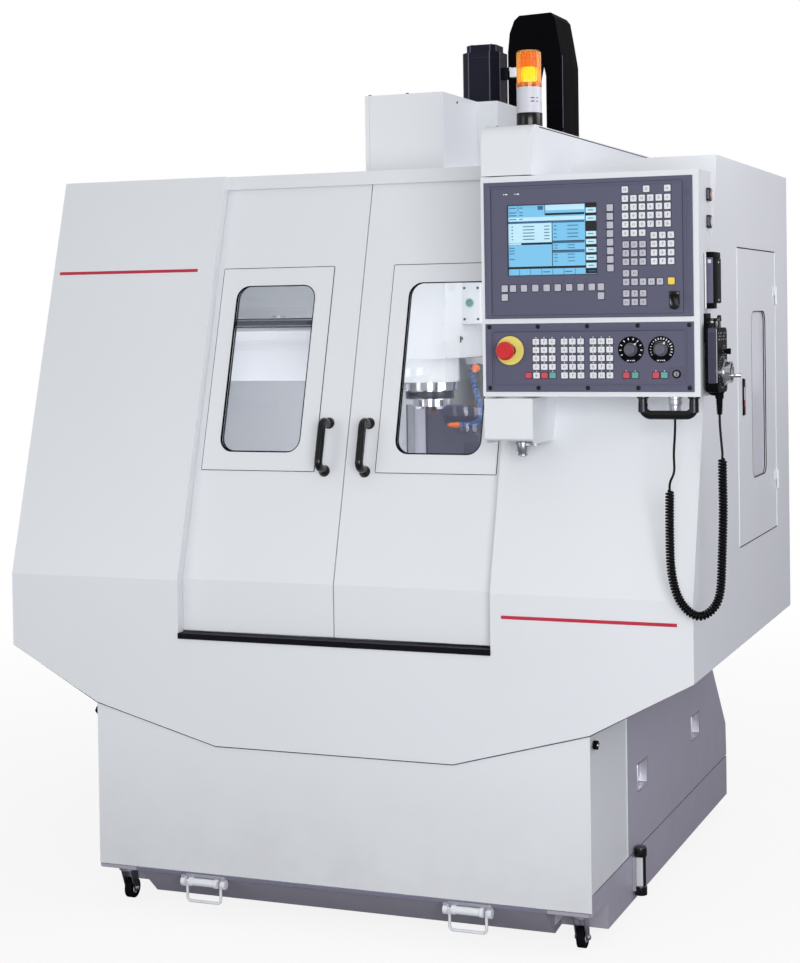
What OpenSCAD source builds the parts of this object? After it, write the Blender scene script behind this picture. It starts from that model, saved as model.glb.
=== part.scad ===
// Compact enclosed CNC milling machine, millimetres.
// X runs left to right, Y runs from the front panel to the back, Z is up.
// The origin is on the floor, on the centre plane, under the front panel.

/* [Enclosure] */
// Overall width of the splash enclosure
hood_w = 1780; // [1740:10:1820]
// Depth of the enclosure from the front panel to the rear wall
hood_d = 1215; // [1205:5:1240]
// Height of the roof above the floor
hood_top = 1855; // [1850:5:1870]
// Height of the fold where the front starts to lean back
bend_z = 835; // [825:5:850]
// How far the front leans back between the fold and the roof
lean_back = 300; // [280:5:310]
// Thickness of the cover sheets
sheet = 3; // [2:0.5:4]

/* [Doors] */
// Half of the width of the front opening between the wings
opening_half = 410; // [400:5:420]
// Height of the sill of the front opening
sill_z = 690; // [680:5:700]
// Distance from the wing face to the door face
door_inset = 30; // [28:1:32]
// Thickness of a door at its folded edge
door_t = 22; // [18:1:26]

/* [Base] */
// Width of the base, the covers and the coolant tank
base_w = 1292; // [1280:4:1300]
// Length of the base from the front cover to the rear cover
base_d = 1480; // [1460:10:1500]
// Height of the top edge of the coolant tank
tank_top = 145; // [140:1:150]
// Height of the tank floor above the ground
tank_floor = 30; // [26:1:40]

/* [Axes] */
// Distance of the spindle axis behind the front panel
spindle_y = 710; // [700:5:720]
// Height of the table surface
table_z = 850; // [840:5:860]
// Length of the table along X
table_l = 760; // [700:10:800]
// Width of the table along Y
table_w = 300; // [280:5:310]

/* [Pendant] */
// Width of the control pendant
pendant_w = 504; // [500:1:510]
// Height of the control pendant
pendant_h = 500; // [495:1:505]
// Depth of the control pendant
pendant_d = 122; // [110:2:130]
// Height of the underside of the pendant
pendant_z = 1297; // [1290:1:1305]

/* [Hidden] */

$fn = 48;
hood_half = hood_w / 2;
base_half = base_w / 2;
lean = lean_back / (hood_top - bend_z);
lean_angle = atan(lean);
// running clearance of the pivots and slides, per side
fit = 0.05;
// clearance between sheet parts that move past each other
gap = 1;
// middle of the machine's floor area, measured from the apron's outer face and centre plane
centre_x = 55.5;
centre_y = 740;

// sets a piece drawn from the apron's face over the middle of the floor area
module at_centre() {
    translate([-centre_x, -centre_y, 0]) children();
}

// lower edge of the enclosure: side corners, base corners and the middle run
apron_side_z = 650;
apron_corner = [base_half, 518];
apron_middle = [312, 428];

paint_white = [0.90, 0.91, 0.93];
paint_inside = [0.74, 0.74, 0.80];
paint_base = [0.62, 0.62, 0.70];
panel_blue = [0.30, 0.31, 0.42];
black = [0.08, 0.08, 0.09];
steel = [0.72, 0.73, 0.75];
cast_grey = [0.50, 0.52, 0.55];
clear_blue = [0.75, 0.82, 0.88, 0.4];

// distance of the front surface behind the front panel plane at height z
function front_y(z) = z < bend_z ? 0 : (z - bend_z) * lean;

// block between two corners
module block(x0, x1, y0, y1, z0, z1) {
    translate([x0, y0, z0]) cube([x1 - x0, y1 - y0, z1 - z0]);
}

// the same child on the right side and mirrored to the left
module both_sides() {
    children();
    mirror([1, 0, 0]) children();
}

// outline of points [y, z] drawn out along X
module along_x(x0, x1, outline) {
    translate([x0, 0, 0]) rotate([90, 0, 90]) linear_extrude(x1 - x0) polygon(outline);
}

// 2D children in [x, z] drawn out along Y
module along_y(y0, y1) {
    translate([0, y1, 0]) rotate([90, 0, 0]) linear_extrude(y1 - y0) children();
}

// sheet or slab that follows the folded front, between two depths behind its surface
module front_slab(x0, x1, z0, z1, depth0, depth1) {
    outline = z0 < bend_z
        ? [[depth0, z0], [depth0, bend_z], [depth0 + front_y(z1), z1],
           [depth1 + front_y(z1), z1], [depth1, bend_z], [depth1, z0]]
        : [[depth0 + front_y(z0), z0], [depth0 + front_y(z1), z1],
           [depth1 + front_y(z1), z1], [depth1 + front_y(z0), z0]];
    along_x(x0, x1, outline);
}

// rectangle with rounded corners between two corner points
module round_rect(x0, x1, y0, y1, r) {
    translate([x0 + r, y0]) square([x1 - x0 - 2 * r, y1 - y0]);
    translate([x0, y0 + r]) square([x1 - x0, y1 - y0 - 2 * r]);
    for (x = [x0 + r, x1 - r], y = [y0 + r, y1 - r]) translate([x, y]) circle(r);
}

// ---------- bed, column and axes ----------

bed_half = 300;
bed_y = [427, 1400];
bed_z = [60, 600];
way_x = [120, 170];
way_h = 20;
way_y1 = 1040;
column_half = 125;
column_y = [1045, 1330];
column_top = 2040;
channel_half = 65;
channel_y1 = 1265;
guide_x = 95;
guide_w = 24;
guide_y = column_y[0] - 16;
slide_y = guide_y - 1;

module machine_bed() at_centre() {
    color(cast_grey) {
        difference() {
            block(-bed_half, bed_half, bed_y[0], bed_y[1], bed_z[0], bed_z[1]);
            // cast pockets that leave ribs in the flanks
            both_sides() for (i = [0:3])
                block(bed_half - 60, bed_half + 1, bed_y[0] + 40 + i * 235,
                    bed_y[0] + 40 + i * 235 + 190, bed_z[0] + 50, bed_z[1] - 70);
            // chip channel between the ways, sloping out to the front
            along_x(-90, 90, [[bed_y[0] - 1, 470], [way_y1, 540], [way_y1, bed_z[1] + 1],
                [bed_y[0] - 1, bed_z[1] + 1]]);
        }
        both_sides() block(way_x[0], way_x[1], bed_y[0], way_y1, bed_z[1], bed_z[1] + way_h);
        // levelling feet
        both_sides() for (y = [500, 900, 1300]) {
            translate([240, y, 12]) cylinder(h = bed_z[0] - 12, r = 14);
            translate([240, y, 0]) cylinder(h = 14, r = 42);
        }
    }
}

module column() at_centre() {
    color(paint_white) {
        difference() {
            block(-column_half, column_half, column_y[0], column_y[1], bed_z[1], column_top);
            block(-channel_half, channel_half, column_y[0] - 1, channel_y1, bed_z[1] + 60,
                column_top - 25);
            // seat of the ball screw
            translate([0, motor_y, column_top - 26]) cylinder(h = 27, r = screw_r + fit);
        }
        // bolted foot
        difference() {
            block(-230, 230, column_y[0], column_y[1] + 40, bed_z[1], bed_z[1] + 40);
            block(-channel_half, channel_half, column_y[0] - 1, channel_y1, bed_z[1] + 20,
                bed_z[1] + 61);
        }
        // linear guide rails on the two front faces
        both_sides() block(guide_x - guide_w / 2, guide_x + guide_w / 2, guide_y,
            column_y[0] + 1, 1250, column_top - 40);
    }
}

motor_y = 1216;
motor_half = 57;
motor_cut = 24;
motor_cap_half = 45;
screw_r = 16;

module z_motor() at_centre() {
    color(black) translate([0, motor_y, column_top]) {
        linear_extrude(14) square(130, center = true);
        translate([0, 0, 14]) linear_extrude(206) chamfered_square(motor_half, motor_cut);
        translate([0, 0, 220]) linear_extrude(22) chamfered_square(motor_cap_half, 14);
        // plug housing on the right side
        translate([motor_half - 1, -14, 140]) cube([24, 28, 34]);
        // ball screw that drives the head
        translate([0, 0, bed_z[1] + 62 - column_top]) cylinder(h = column_top - bed_z[1] - 60,
            r = screw_r);
    }
}

module chamfered_square(half, cut) {
    polygon([[-half + cut, -half], [half - cut, -half], [half, -half + cut], [half, half - cut],
        [half - cut, half], [-half + cut, half], [-half, half - cut], [-half, -half + cut]]);
}

saddle_half = 190;
saddle_y = [540, 880];
saddle_z = [602, 700];
table_ways_z = 18;

module saddle() at_centre() {
    color(cast_grey) difference() {
        union() {
            block(-saddle_half, saddle_half, saddle_y[0], saddle_y[1], saddle_z[0],
                saddle_z[1] - table_ways_z);
            // two box ways that carry the table
            for (y = [600, 770])
                block(-saddle_half, saddle_half, y, y + 50, saddle_z[1] - table_ways_z - 1,
                    saddle_z[1]);
        }
        // grooves over the ways of the bed
        both_sides() block(way_x[0] - fit, way_x[1] + fit, saddle_y[0] - 1, saddle_y[1] + 1,
            saddle_z[0] - 1, bed_z[1] + way_h + fit);
    }
}

table_y = spindle_y - table_w / 2;
slot_w = 14;

module table() at_centre() {
    color(steel) difference() {
        block(-table_l / 2, table_l / 2, table_y, table_y + table_w, saddle_z[1] - 14, table_z);
        // grooves over the ways of the saddle
        for (y = [600, 770])
            block(-table_l / 2 - 1, table_l / 2 + 1, y - fit, y + 50 + fit, saddle_z[1] - 15,
                saddle_z[1] + fit);
        // T-slots
        for (i = [-1:1]) translate([0, spindle_y + i * 90, 0]) {
            block(-table_l / 2 - 1, table_l / 2 + 1, -slot_w / 2, slot_w / 2, table_z - 26,
                table_z + 1);
            block(-table_l / 2 - 1, table_l / 2 + 1, -slot_w, slot_w, table_z - 26, table_z - 14);
        }
        // coolant gutter along both long edges
        for (y = [table_y + 12, table_y + table_w - 32])
            block(-table_l / 2 + 15, table_l / 2 - 15, y, y + 20, table_z - 10, table_z + 1);
        // hollow underside at both ends
        both_sides() block(saddle_half + 20, table_l / 2 - 20, table_y + 20,
            table_y + table_w - 20, saddle_z[1] - 15, table_z - 50);
    }
}

head_half = 111;
head_front_y = 543;
head_bottom = 1368;
head_top = 2073;
head_step_y = 821;
head_wide = 169;
head_back_y = 1022;
head_sheet = 3;
nose_z = 1227;
bore_r = 40;

module head_casting() at_centre() {
    inner = head_half - head_sheet;
    color(paint_white) {
        difference() {
            union() {
                block(-inner, inner, head_front_y + 6, 1010, head_bottom, 1540);
                // spindle collar
                translate([0, spindle_y, 1302]) cylinder(h = 70, r = 82, $fn = 96);
                // steel flange of the spindle cartridge
                translate([0, spindle_y, 1280]) cylinder(h = 22, r = 76, $fn = 96);
                // block that carries the spindle motor
                block(-inner, inner, 600, 1010, 1539, 1720);
                // slide plate in front of the column
                block(-118, 118, 1000, slide_y, 1510, 1900);
            }
            // spindle bore
            translate([0, spindle_y, 1279]) cylinder(h = 200, r = bore_r + fit);
        }
        // guide blocks on each rail
        both_sides() for (z = [1520, 1790]) difference() {
            block(guide_x - 24, guide_x + 24, slide_y - 1, column_y[0] - 3, z, z + 80);
            block(guide_x - guide_w / 2 - fit, guide_x + guide_w / 2 + fit, guide_y - fit,
                column_y[0], z - 1, z + 81);
        }
        // nut of the ball screw on its bracket
        difference() {
            union() {
                block(-45, 45, slide_y - 1, motor_y + 38, 1650, 1690);
                translate([0, motor_y, 1610]) cylinder(h = 110, r = 27);
            }
            translate([0, motor_y, 1600]) cylinder(h = 130, r = screw_r + fit);
        }
        // motor of the spindle
        translate([0, spindle_y + 60, 1719]) cylinder(h = 300, r = 88);
    }
}

module head_cover() at_centre() {
    color(paint_white) difference() {
        union() {
            block(-head_half, head_half, head_front_y, head_step_y + 1, head_bottom, head_top);
            block(-head_wide, head_wide, head_step_y, head_back_y, 1520, head_top);
            // bracket beside the moving end of the cable chain
            block(chain_x[0] - 4, chain_x[0], head_back_y - 1, chain_y[1] - 8, 1940, 2050);
        }
        block(-head_half + head_sheet, head_half - head_sheet, head_front_y + head_sheet,
            head_back_y - head_sheet, head_bottom - 1, head_top - head_sheet);
        block(-head_wide + head_sheet, head_wide - head_sheet, head_step_y + head_sheet,
            head_back_y - head_sheet, 1519, head_top - head_sheet);
        // back stays open towards the slide plate
        block(-120, 120, head_back_y - 5, head_back_y + 1, head_bottom - 1, 1950);
    }
}

module spindle() at_centre() {
    color(steel) translate([0, spindle_y, 0]) difference() {
        union() {
            translate([0, 0, 1255]) cylinder(h = 24, r = 66, $fn = 96);
            translate([0, 0, 1235]) cylinder(h = 22, r = 47, $fn = 96);
            translate([0, 0, 1278]) cylinder(h = 196, r = bore_r, $fn = 96);
            // drive keys
            both_sides() translate([22, -8, nose_z]) cube([16, 16, 12]);
        }
        // taper for the tool holder
        translate([0, 0, 1234]) cylinder(h = 70, r1 = 22, r2 = 12, $fn = 96);
        translate([0, 0, 1300]) cylinder(h = 180, r = 9, $fn = 96);
    }
}

// points of each coolant hose, in order from the manifold to its nozzle
hose_paths = [
    [[102, 770, 1345], [112, 762, 1310], [122, 748, 1270], [132, 730, 1235], [138, 705, 1200],
     [130, 680, 1180], [115, 655, 1172], [100, 635, 1176]],
    [[112, 790, 1345], [124, 784, 1312], [136, 772, 1275], [146, 752, 1240], [150, 728, 1210],
     [146, 700, 1186]]];
hose_r = 6.5;

module coolant_hoses() at_centre() {
    color("steelblue") {
        // distribution block under the head
        block(84, 128, 756, 806, 1340, head_bottom);
        for (path = hose_paths) tube_along(path, hose_r, 10);
    }
}

// ---------- tubes and cords ----------

function unit(v) = v / norm(v);
function tangent(p, i) = unit(p[min(i + 1, len(p) - 1)] - p[max(i - 1, 0)]);
// side direction of a ring, level and square to the route
function ring_side(t) = abs(t[2]) > 0.999 ? [1, 0, 0] : unit(cross(t, [0, 1, 0.02]));

// closed tube swept along a route of points
module tube_along(path, r, sides) {
    rings = len(path);
    points = [for (i = [0:rings - 1], k = [0:sides - 1])
        let (t = tangent(path, i), a = ring_side(t), b = cross(t, a), w = 360 * k / sides)
        path[i] + r * (cos(w) * a + sin(w) * b)];
    walls = [for (i = [0:rings - 2], k = [0:sides - 1])
        let (n = (k + 1) % sides)
        [i * sides + k, i * sides + n, (i + 1) * sides + n, (i + 1) * sides + k]];
    caps = [[for (k = [sides - 1:-1:0]) k],
        [for (k = [0:sides - 1]) (rings - 1) * sides + k]];
    polyhedron(points, concat([for (w = walls) [w[3], w[2], w[1], w[0]]],
        [for (c = caps) [for (k = [len(c) - 1:-1:0]) c[k]]]));
}

// smooth curve through every point of a route
function smooth(p, steps) = concat([for (i = [0:len(p) - 2], s = [0:steps - 1])
    let (u = s / steps, a = p[max(i - 1, 0)], b = p[i], c = p[i + 1],
        d = p[min(i + 2, len(p) - 1)])
    0.5 * (2 * b + (c - a) * u + (2 * a - 5 * b + 4 * c - d) * u * u
        + (3 * b - a - 3 * c + d) * u * u * u)], [p[len(p) - 1]]);

// ---------- enclosure ----------

wing_return = 27;
lintel_z = 1820;
side_door_y = [522, 1019];
side_door_z = [893, 1643];
roof_hole_half = 190;
roof_hole_y = 530;
rear_gap_half = 132;

// lower outline of the apron, with its flat middle and rising ends
module apron_outline() {
    polygon([[-hood_half, apron_side_z], [-apron_corner[0], apron_corner[1]],
        [-apron_middle[0], apron_middle[1]], [apron_middle[0], apron_middle[1]],
        [apron_corner[0], apron_corner[1]], [hood_half, apron_side_z],
        [hood_half, hood_top], [-hood_half, hood_top]]);
}

module front_shell() at_centre() {
    color(paint_white) {
        difference() {
            intersection() {
                front_slab(-hood_half, hood_half, apron_middle[1], hood_top, 0, sheet);
                along_y(-1, lean_back + 20) apron_outline();
            }
            block(-opening_half, opening_half, -1, lean_back + 20, sill_z, hood_top + 1);
        }
        // folded returns beside the doors
        both_sides() front_slab(opening_half, opening_half + sheet, sill_z, hood_top, 0,
            wing_return);
        // lintel over the doors and the bar that the doors hang on
        front_slab(-opening_half - 1, opening_half + 1, lintel_z, hood_top, wing_return - sheet,
            wing_return);
        front_slab(-opening_half, opening_half, 1840, 1850, wing_return - 1, door_inset);
        front_slab(-760, 760, 1835, 1850, door_inset, door_inset + door_t);
        // sill behind the apron
        block(-800, 800, sheet - 1, door_inset + door_t + 6, sill_z - 2 * sheet, sill_z - sheet);
    }
}

// one side wall with its half of the rear wall, drawn for the right side
module side_wall(with_door) {
    difference() {
        along_x(hood_half - sheet, hood_half, [[sheet, apron_side_z], [sheet, bend_z],
            [sheet + front_y(hood_top), hood_top], [hood_d, hood_top], [hood_d, apron_side_z]]);
        if (with_door) block(hood_half - sheet - 1, hood_half + 1, side_door_y[0],
            side_door_y[1], side_door_z[0], side_door_z[1]);
    }
    block(rear_gap_half, hood_half - sheet + 1, hood_d - sheet, hood_d, apron_side_z, hood_top);
    // folded edge beside the column
    block(rear_gap_half, rear_gap_half + sheet, hood_d - 30, hood_d, apron_side_z + 10,
        hood_top - 10);
}

module side_panel_right() at_centre() {
    color(paint_white) {
        side_wall(true);
        // frame rebate behind the side door
        difference() {
            block(hood_half - 30, hood_half - 26, side_door_y[0] - 22, side_door_y[1] + 22,
                side_door_z[0] - 22, side_door_z[1] + 22);
            block(hood_half - 31, hood_half - 25, side_door_y[0] + 14, side_door_y[1] - 14,
                side_door_z[0] + 14, side_door_z[1] - 14);
        }
        for (y = [side_door_y[0] - 22, side_door_y[1] + 22 - sheet])
            block(hood_half - 30, hood_half - sheet + 1, y, y + sheet, side_door_z[0] - 22,
                side_door_z[1] + 22);
        for (z = [side_door_z[0] - 22, side_door_z[1] + 22 - sheet])
            block(hood_half - 30, hood_half - sheet + 1, side_door_y[0] - 22,
                side_door_y[1] + 22, z, z + sheet);
        // lower barrels and pins of the hinges
        for (z = side_hinge_z) translate([side_hinge[0], side_hinge[1], z]) {
            cylinder(h = 22, r = side_barrel_r);
            cylinder(h = 48, r = side_pin_r);
            block(-5, -2, 1.5, 24, 0, 22);
            block(-4, 0, 1.5, 3.2, 0, 22);
        }
    }
}

module side_panel_left() at_centre() {
    color(paint_white) mirror([1, 0, 0]) side_wall(false);
}

module roof_panel() at_centre() {
    inner = hood_half - sheet;
    color(paint_white) {
        difference() {
            block(-inner, inner, lean_back + sheet, hood_d - sheet, hood_top - sheet, hood_top);
            block(-opening_half - sheet, opening_half + sheet, lean_back,
                lean_back + wing_return, hood_top - sheet - 1, hood_top + 1);
            block(-roof_hole_half, roof_hole_half, roof_hole_y, hood_d + 1, hood_top - sheet - 1,
                hood_top + 1);
        }
        // raised rim round the opening for the head
        both_sides() block(roof_hole_half, roof_hole_half + sheet, roof_hole_y, 1000,
            hood_top - 1, hood_top + 15);
        block(-roof_hole_half - sheet, roof_hole_half + sheet, roof_hole_y - sheet, roof_hole_y,
            hood_top - 1, hood_top + 15);
        // anchor of the fixed end of the cable chain
        block(234, 296, 1040, 1140, hood_top - 1, hood_top + 5);
    }
}

// folded trough that catches chips and leads them inwards
module chip_trough() at_centre() {
    outer = hood_half - sheet;
    fall = (apron_side_z - apron_corner[1]) / (hood_half - apron_corner[0]);
    edge_z = apron_side_z - fall * sheet;
    color(paint_inside) difference() {
        union() {
        along_y(sheet + 5, hood_d - sheet) polygon([[-outer, edge_z],
            [-apron_corner[0], apron_corner[1]], [-apron_middle[0], apron_middle[1]],
            [apron_middle[0], apron_middle[1]], [apron_corner[0], apron_corner[1]],
            [outer, edge_z], [outer, edge_z + 5], [apron_corner[0], apron_corner[1] + 5],
            [apron_middle[0], apron_middle[1] + 4], [-apron_middle[0], apron_middle[1] + 4],
            [-apron_corner[0], apron_corner[1] + 5], [-outer, edge_z + 5]]);
        // rear end wall
        along_y(hood_d - 2 * sheet, hood_d - sheet) polygon([[-outer, edge_z],
            [-apron_corner[0], apron_corner[1]], [-apron_middle[0], apron_middle[1]],
            [apron_middle[0], apron_middle[1]], [apron_corner[0], apron_corner[1]],
            [outer, edge_z], [outer, 690], [-outer, 690]]);
        }
        block(-bed_half - 3, bed_half + 3, bed_y[0] - 3, hood_d, 400, 700);
        // drain into the tank
        block(-150, 150, 180, 330, 400, 500);
    }
}

shoulder = [[1480, tank_top + 4], [1472, 246], [1233, 515]];
cover_y0 = 324;
pull_y = [475, 1070];
pull_z = 322;

module rear_profile(inset, y0) {
    along_x(-base_half + inset, base_half - inset, [[y0, tank_top + 4 - inset * 2],
        [shoulder[0][0] - inset, tank_top + 4 - inset * 2],
        [shoulder[1][0] - inset, shoulder[1][1] - inset / 2],
        [shoulder[2][0] - inset, shoulder[2][1] - inset / 2 + inset * 2],
        [y0, shoulder[2][1] + inset * 2]]);
}

module base_rear_cover() at_centre() {
    color(paint_base) {
        difference() {
            intersection() {
                rear_profile(0, cover_y0);
                block(-base_half, base_half, cover_y0, base_d, tank_top + 4, shoulder[2][1]);
            }
            rear_profile(sheet, cover_y0 - 1);
            block(-bed_half - 4, bed_half + 4, 1200, base_d + 1, tank_top, 600);
            // windows for the recessed pulls
            both_sides() for (y = pull_y)
                block(base_half - 4, base_half + 1, y - 46, y + 46, pull_z - 32, pull_z + 32);
        }
        // recessed pulls
        both_sides() for (y = pull_y) difference() {
            block(base_half - 22, base_half - sheet + 0.5, y - 50, y + 50, pull_z - 36,
                pull_z + 36);
            block(base_half - 20, base_half + 1, y - 46, y + 46, pull_z - 32, pull_z + 32);
        }
    }
}

module door_rail() at_centre() {
    color(black) {
        block(-opening_half + 0.5, opening_half - 0.5, -4, door_inset, sill_z, sill_z + 14);
        block(-760, 760, wing_return + 0.3, door_inset + door_t + 2, sill_z - sheet,
            sill_z + 12);
    }
}

splash_half = 194;

module splash_panel() at_centre() {
    color(panel_blue) difference() {
        union() {
            block(-splash_half, splash_half, 1024, 1027, 716, 1222);
            // pressed ribs near both edges
            both_sides() for (x = [128, 164])
                block(x, x + 22, 1020, 1025, 716, 1222);
            // folded feet on the column
            both_sides() block(channel_half + 6, column_half - 1, 1026, column_y[0], 740, 1200);
        }
        both_sides() translate([108, 1000, 1207]) rotate([-90, 0, 0]) cylinder(h = 40, r = 4);
    }
}

// ---------- doors ----------

door_end = 425;
door_z = [708, 1830];
window_x = [128, 349];
window_z = [1148, 1566];
window_r = 34;
pane_depth = [34, 40];

// window outline grown on every side, drawn out through the door
module window_prism(grow) {
    along_y(-100, 600) round_rect(window_x[0] - grow, window_x[1] + grow,
        window_z[0] - grow, window_z[1] + grow, window_r + grow);
}

// right door, closed
module door() {
    difference() {
        union() {
            difference() {
                front_slab(1.5, door_end, door_z[0], door_z[1], door_inset, door_inset + door_t);
                front_slab(3.5, door_end - 2, door_z[0] + 2, door_z[1] - 2, door_inset + 2,
                    door_inset + door_t + 1);
            }
            // raised plate round the window
            front_slab(82.5, 392.5, 1103, 1611, door_inset - 1.5, door_inset + 0.5);
            // frame that holds the pane
            intersection() {
                front_slab(60, 410, 1100, 1614, door_inset + 1, door_inset + 14);
                window_prism(20);
            }
        }
        window_prism(0);
        intersection() {
            front_slab(60, 410, 1100, 1614, pane_depth[0], door_inset + door_t);
            window_prism(12);
        }
    }
}

module pane() {
    intersection() {
        front_slab(60, 410, 1100, 1614, pane_depth[0], pane_depth[1]);
        window_prism(12);
    }
}

handle_x = 54;
handle_z = 1162;
grip_r = 10;
grip_off = 42;
grip_half = 58;
bend_r = 16;

// bow handle standing on a plane, grip along Z, feet towards +Y
module bow_handle() {
    translate([0, -grip_off, -grip_half + bend_r]) cylinder(h = 2 * (grip_half - bend_r),
        r = grip_r);
    for (m = [0, 1]) mirror([0, 0, m]) {
        translate([0, -grip_off + bend_r, grip_half - bend_r]) rotate([0, -90, 0])
            rotate([0, 0, -90]) rotate_extrude(angle = 90) translate([bend_r, 0])
            circle(grip_r);
        translate([0, -grip_off + bend_r, grip_half]) rotate([-90, 0, 0])
            cylinder(h = grip_off - bend_r, r = grip_r);
    }
}

module handle() {
    translate([handle_x, door_inset + front_y(handle_z), handle_z])
        rotate([-lean_angle, 0, 0]) bow_handle();
}

module door_left() at_centre() color(paint_white) mirror([1, 0, 0]) door();
module door_right() at_centre() color(paint_white) door();
module glass_left() at_centre() color(clear_blue) mirror([1, 0, 0]) pane();
module glass_right() at_centre() color(clear_blue) pane();
module handle_left() at_centre() color(black) mirror([1, 0, 0]) handle();
module handle_right() at_centre() color(black) handle();

side_window_y = [694, 882];
side_window_z = [1052, 1483];
side_window_r = 30;
latch_pin = [hood_half - 3, 599];
latch_z = [1222, 1312];
side_hinge = [hood_half + 4, side_door_y[1] - 1];
side_hinge_z = [1000, 1500];
side_barrel_r = 3.5;
side_pin_r = 1.6;

module side_window(grow) {
    translate([hood_half - 40, 0, 0]) rotate([90, 0, 90]) linear_extrude(80)
        round_rect(side_window_y[0] - grow, side_window_y[1] + grow, side_window_z[0] - grow,
            side_window_z[1] + grow, side_window_r + grow);
}

module side_door() at_centre() {
    y0 = side_door_y[0] + 2;
    y1 = side_door_y[1] - 2;
    z0 = side_door_z[0] + 2;
    z1 = side_door_z[1] - 2;
    color(paint_white) difference() {
        union() {
            // upper barrels and leaves of the hinges
            for (z = side_hinge_z) translate([side_hinge[0], side_hinge[1], z + 23]) {
                cylinder(h = 26, r = side_barrel_r);
                block(-5, -2, -24, -1.5, 0, 26);
                block(-4, 0, -3.2, -1.5, 0, 26);
            }
            difference() {
                block(hood_half - 20, hood_half, y0, y1, z0, z1);
                block(hood_half - 21, hood_half - 2, y0 + 2, y1 - 2, z0 + 2, z1 - 2);
            }
            intersection() {
                block(hood_half - 14, hood_half - 1, y0 + 1, y1 - 1, z0 + 1, z1 - 1);
                side_window(22);
            }
            // plate behind the latch
            block(hood_half - 12, hood_half - 1, y0 + 1, 620, 1200, 1334);
        }
        side_window(0);
        intersection() {
            block(hood_half - 21, hood_half - 6, y0, y1, z0, z1);
            side_window(12);
        }
        // pocket of the latch and the bore of its pin
        block(hood_half - 9, hood_half + 1, 572, latch_pin[1] + 5, latch_z[0] - 2,
            latch_z[1] + 2);
        translate([latch_pin[0], latch_pin[1], latch_z[0] - 9])
            cylinder(h = latch_z[1] - latch_z[0] + 18, r = 1.5 + fit);
        for (z = side_hinge_z) translate([side_hinge[0], side_hinge[1], z + 22])
            cylinder(h = 27, r = side_pin_r + fit);
    }
}

module side_glass() at_centre() {
    color(clear_blue) intersection() {
        block(hood_half - 12, hood_half - 6, side_door_y[0], side_door_y[1], side_door_z[0],
            side_door_z[1]);
        side_window(12);
    }
}

// paddle that is pulled out at its front edge
module side_latch() at_centre() {
    length = latch_z[1] - latch_z[0];
    color(black) {
        block(hood_half - 4, hood_half + 3, 574, latch_pin[1] - 3, latch_z[0], latch_z[1]);
        block(hood_half - 6, hood_half, latch_pin[1] - 4, latch_pin[1], latch_z[0], latch_z[1]);
        translate([latch_pin[0], latch_pin[1], latch_z[0]]) cylinder(h = length, r = 3);
        translate([latch_pin[0], latch_pin[1], latch_z[0] - 8]) cylinder(h = length + 16,
            r = 1.5);
    }
}

// ---------- pendant arm, pendant and signal tower ----------

arm_x = [422, 540];
arm_front = -55;
arm_z = [1800, 1917];
arm_back = 1100;
arm_round = 46;
pivot = [481, 4];
pivot_r = 20;
tower_at = [508, 45];

module pendant_arm() at_centre() {
    color(paint_white) {
        difference() {
            union() {
                along_x(arm_x[0], arm_x[1], [[arm_front, arm_z[0]],
                    [front_y(arm_z[0]) + 2, arm_z[0]],
                    [front_y(hood_top) + 2, hood_top], [arm_back, hood_top],
                    [arm_back, arm_z[1]], [arm_front + arm_round, arm_z[1]],
                    [arm_front, arm_z[1] - arm_round]]);
                translate([arm_x[0], arm_front + arm_round, arm_z[1] - arm_round])
                    rotate([0, 90, 0]) cylinder(h = arm_x[1] - arm_x[0], r = arm_round,
                    $fn = 96);
            }
            // inside of the wing and of the roof stays free
            front_slab(arm_x[0] - 1, arm_x[1] + 1, arm_z[0] - 10, hood_top, 0, 40);
            block(arm_x[0] - 1, arm_x[1] + 1, lean_back, arm_back + 1, hood_top - 20, hood_top);
        }
        // pivot stub and its collar over the pendant
        translate([pivot[0], pivot[1], pendant_z + pendant_h - 12]) cylinder(h = 20, r = pivot_r);
        translate([pivot[0], pivot[1], pendant_z + pendant_h + 0.5]) cylinder(h = 3, r = 44);
    }
}

module pendant_bracket() at_centre() {
    low = 1188;
    top = pendant_z - 5;
    color(paint_white) {
        difference() {
            along_x(arm_x[0], arm_x[1] - 2, [[arm_front, low + 12], [arm_front + 12, low],
                [front_y(low) + 4, low], [front_y(top) + 4, top], [arm_front, top]]);
            front_slab(arm_x[0] - 1, arm_x[1] + 1, low - 10, top + 10, 0, 40);
            // hollow from below
            along_x(arm_x[0] + 4, arm_x[1] - 6, [[arm_front + 4, low - 1],
                [front_y(low) - 4, low - 1], [front_y(top - 20) - 4, top - 20],
                [arm_front + 4, top - 20]]);
        }
        translate([pivot[0], pivot[1], top - 1]) cylinder(h = 17, r = pivot_r);
        translate([pivot[0], pivot[1], top - 1]) cylinder(h = 5, r = 44);
    }
}

module tower_body() at_centre() {
    translate([tower_at[0], tower_at[1], arm_z[1]]) {
        color(black) cylinder(h = 34, r = 29.5, $fn = 96);
        color(paint_white) translate([0, 0, 34]) cylinder(h = 66, r = 29, $fn = 96);
    }
}

module tower_lens() at_centre() {
    color("orange") translate([tower_at[0], tower_at[1], arm_z[1] + 100]) {
        difference() {
            union() {
                cylinder(h = 76, r = 29, $fn = 96);
                translate([0, 0, 75]) cylinder(h = 7, r = 25, $fn = 96);
            }
            translate([0, 0, -1]) cylinder(h = 78, r = 26, $fn = 96);
        }
    }
}

pendant_x = 422;
pendant_y = -60;
pendant_wall = 4;
screen_panel = [430, 913, 1474, 1784];
button_panel = [430, 913, 1307.7, 1462.7];
face_y = pendant_y - 2;
side_x = pendant_x + pendant_w;
rocker_y = 30;
rocker_z = [1745, 1684.5];
rocker_out = 2;

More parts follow.
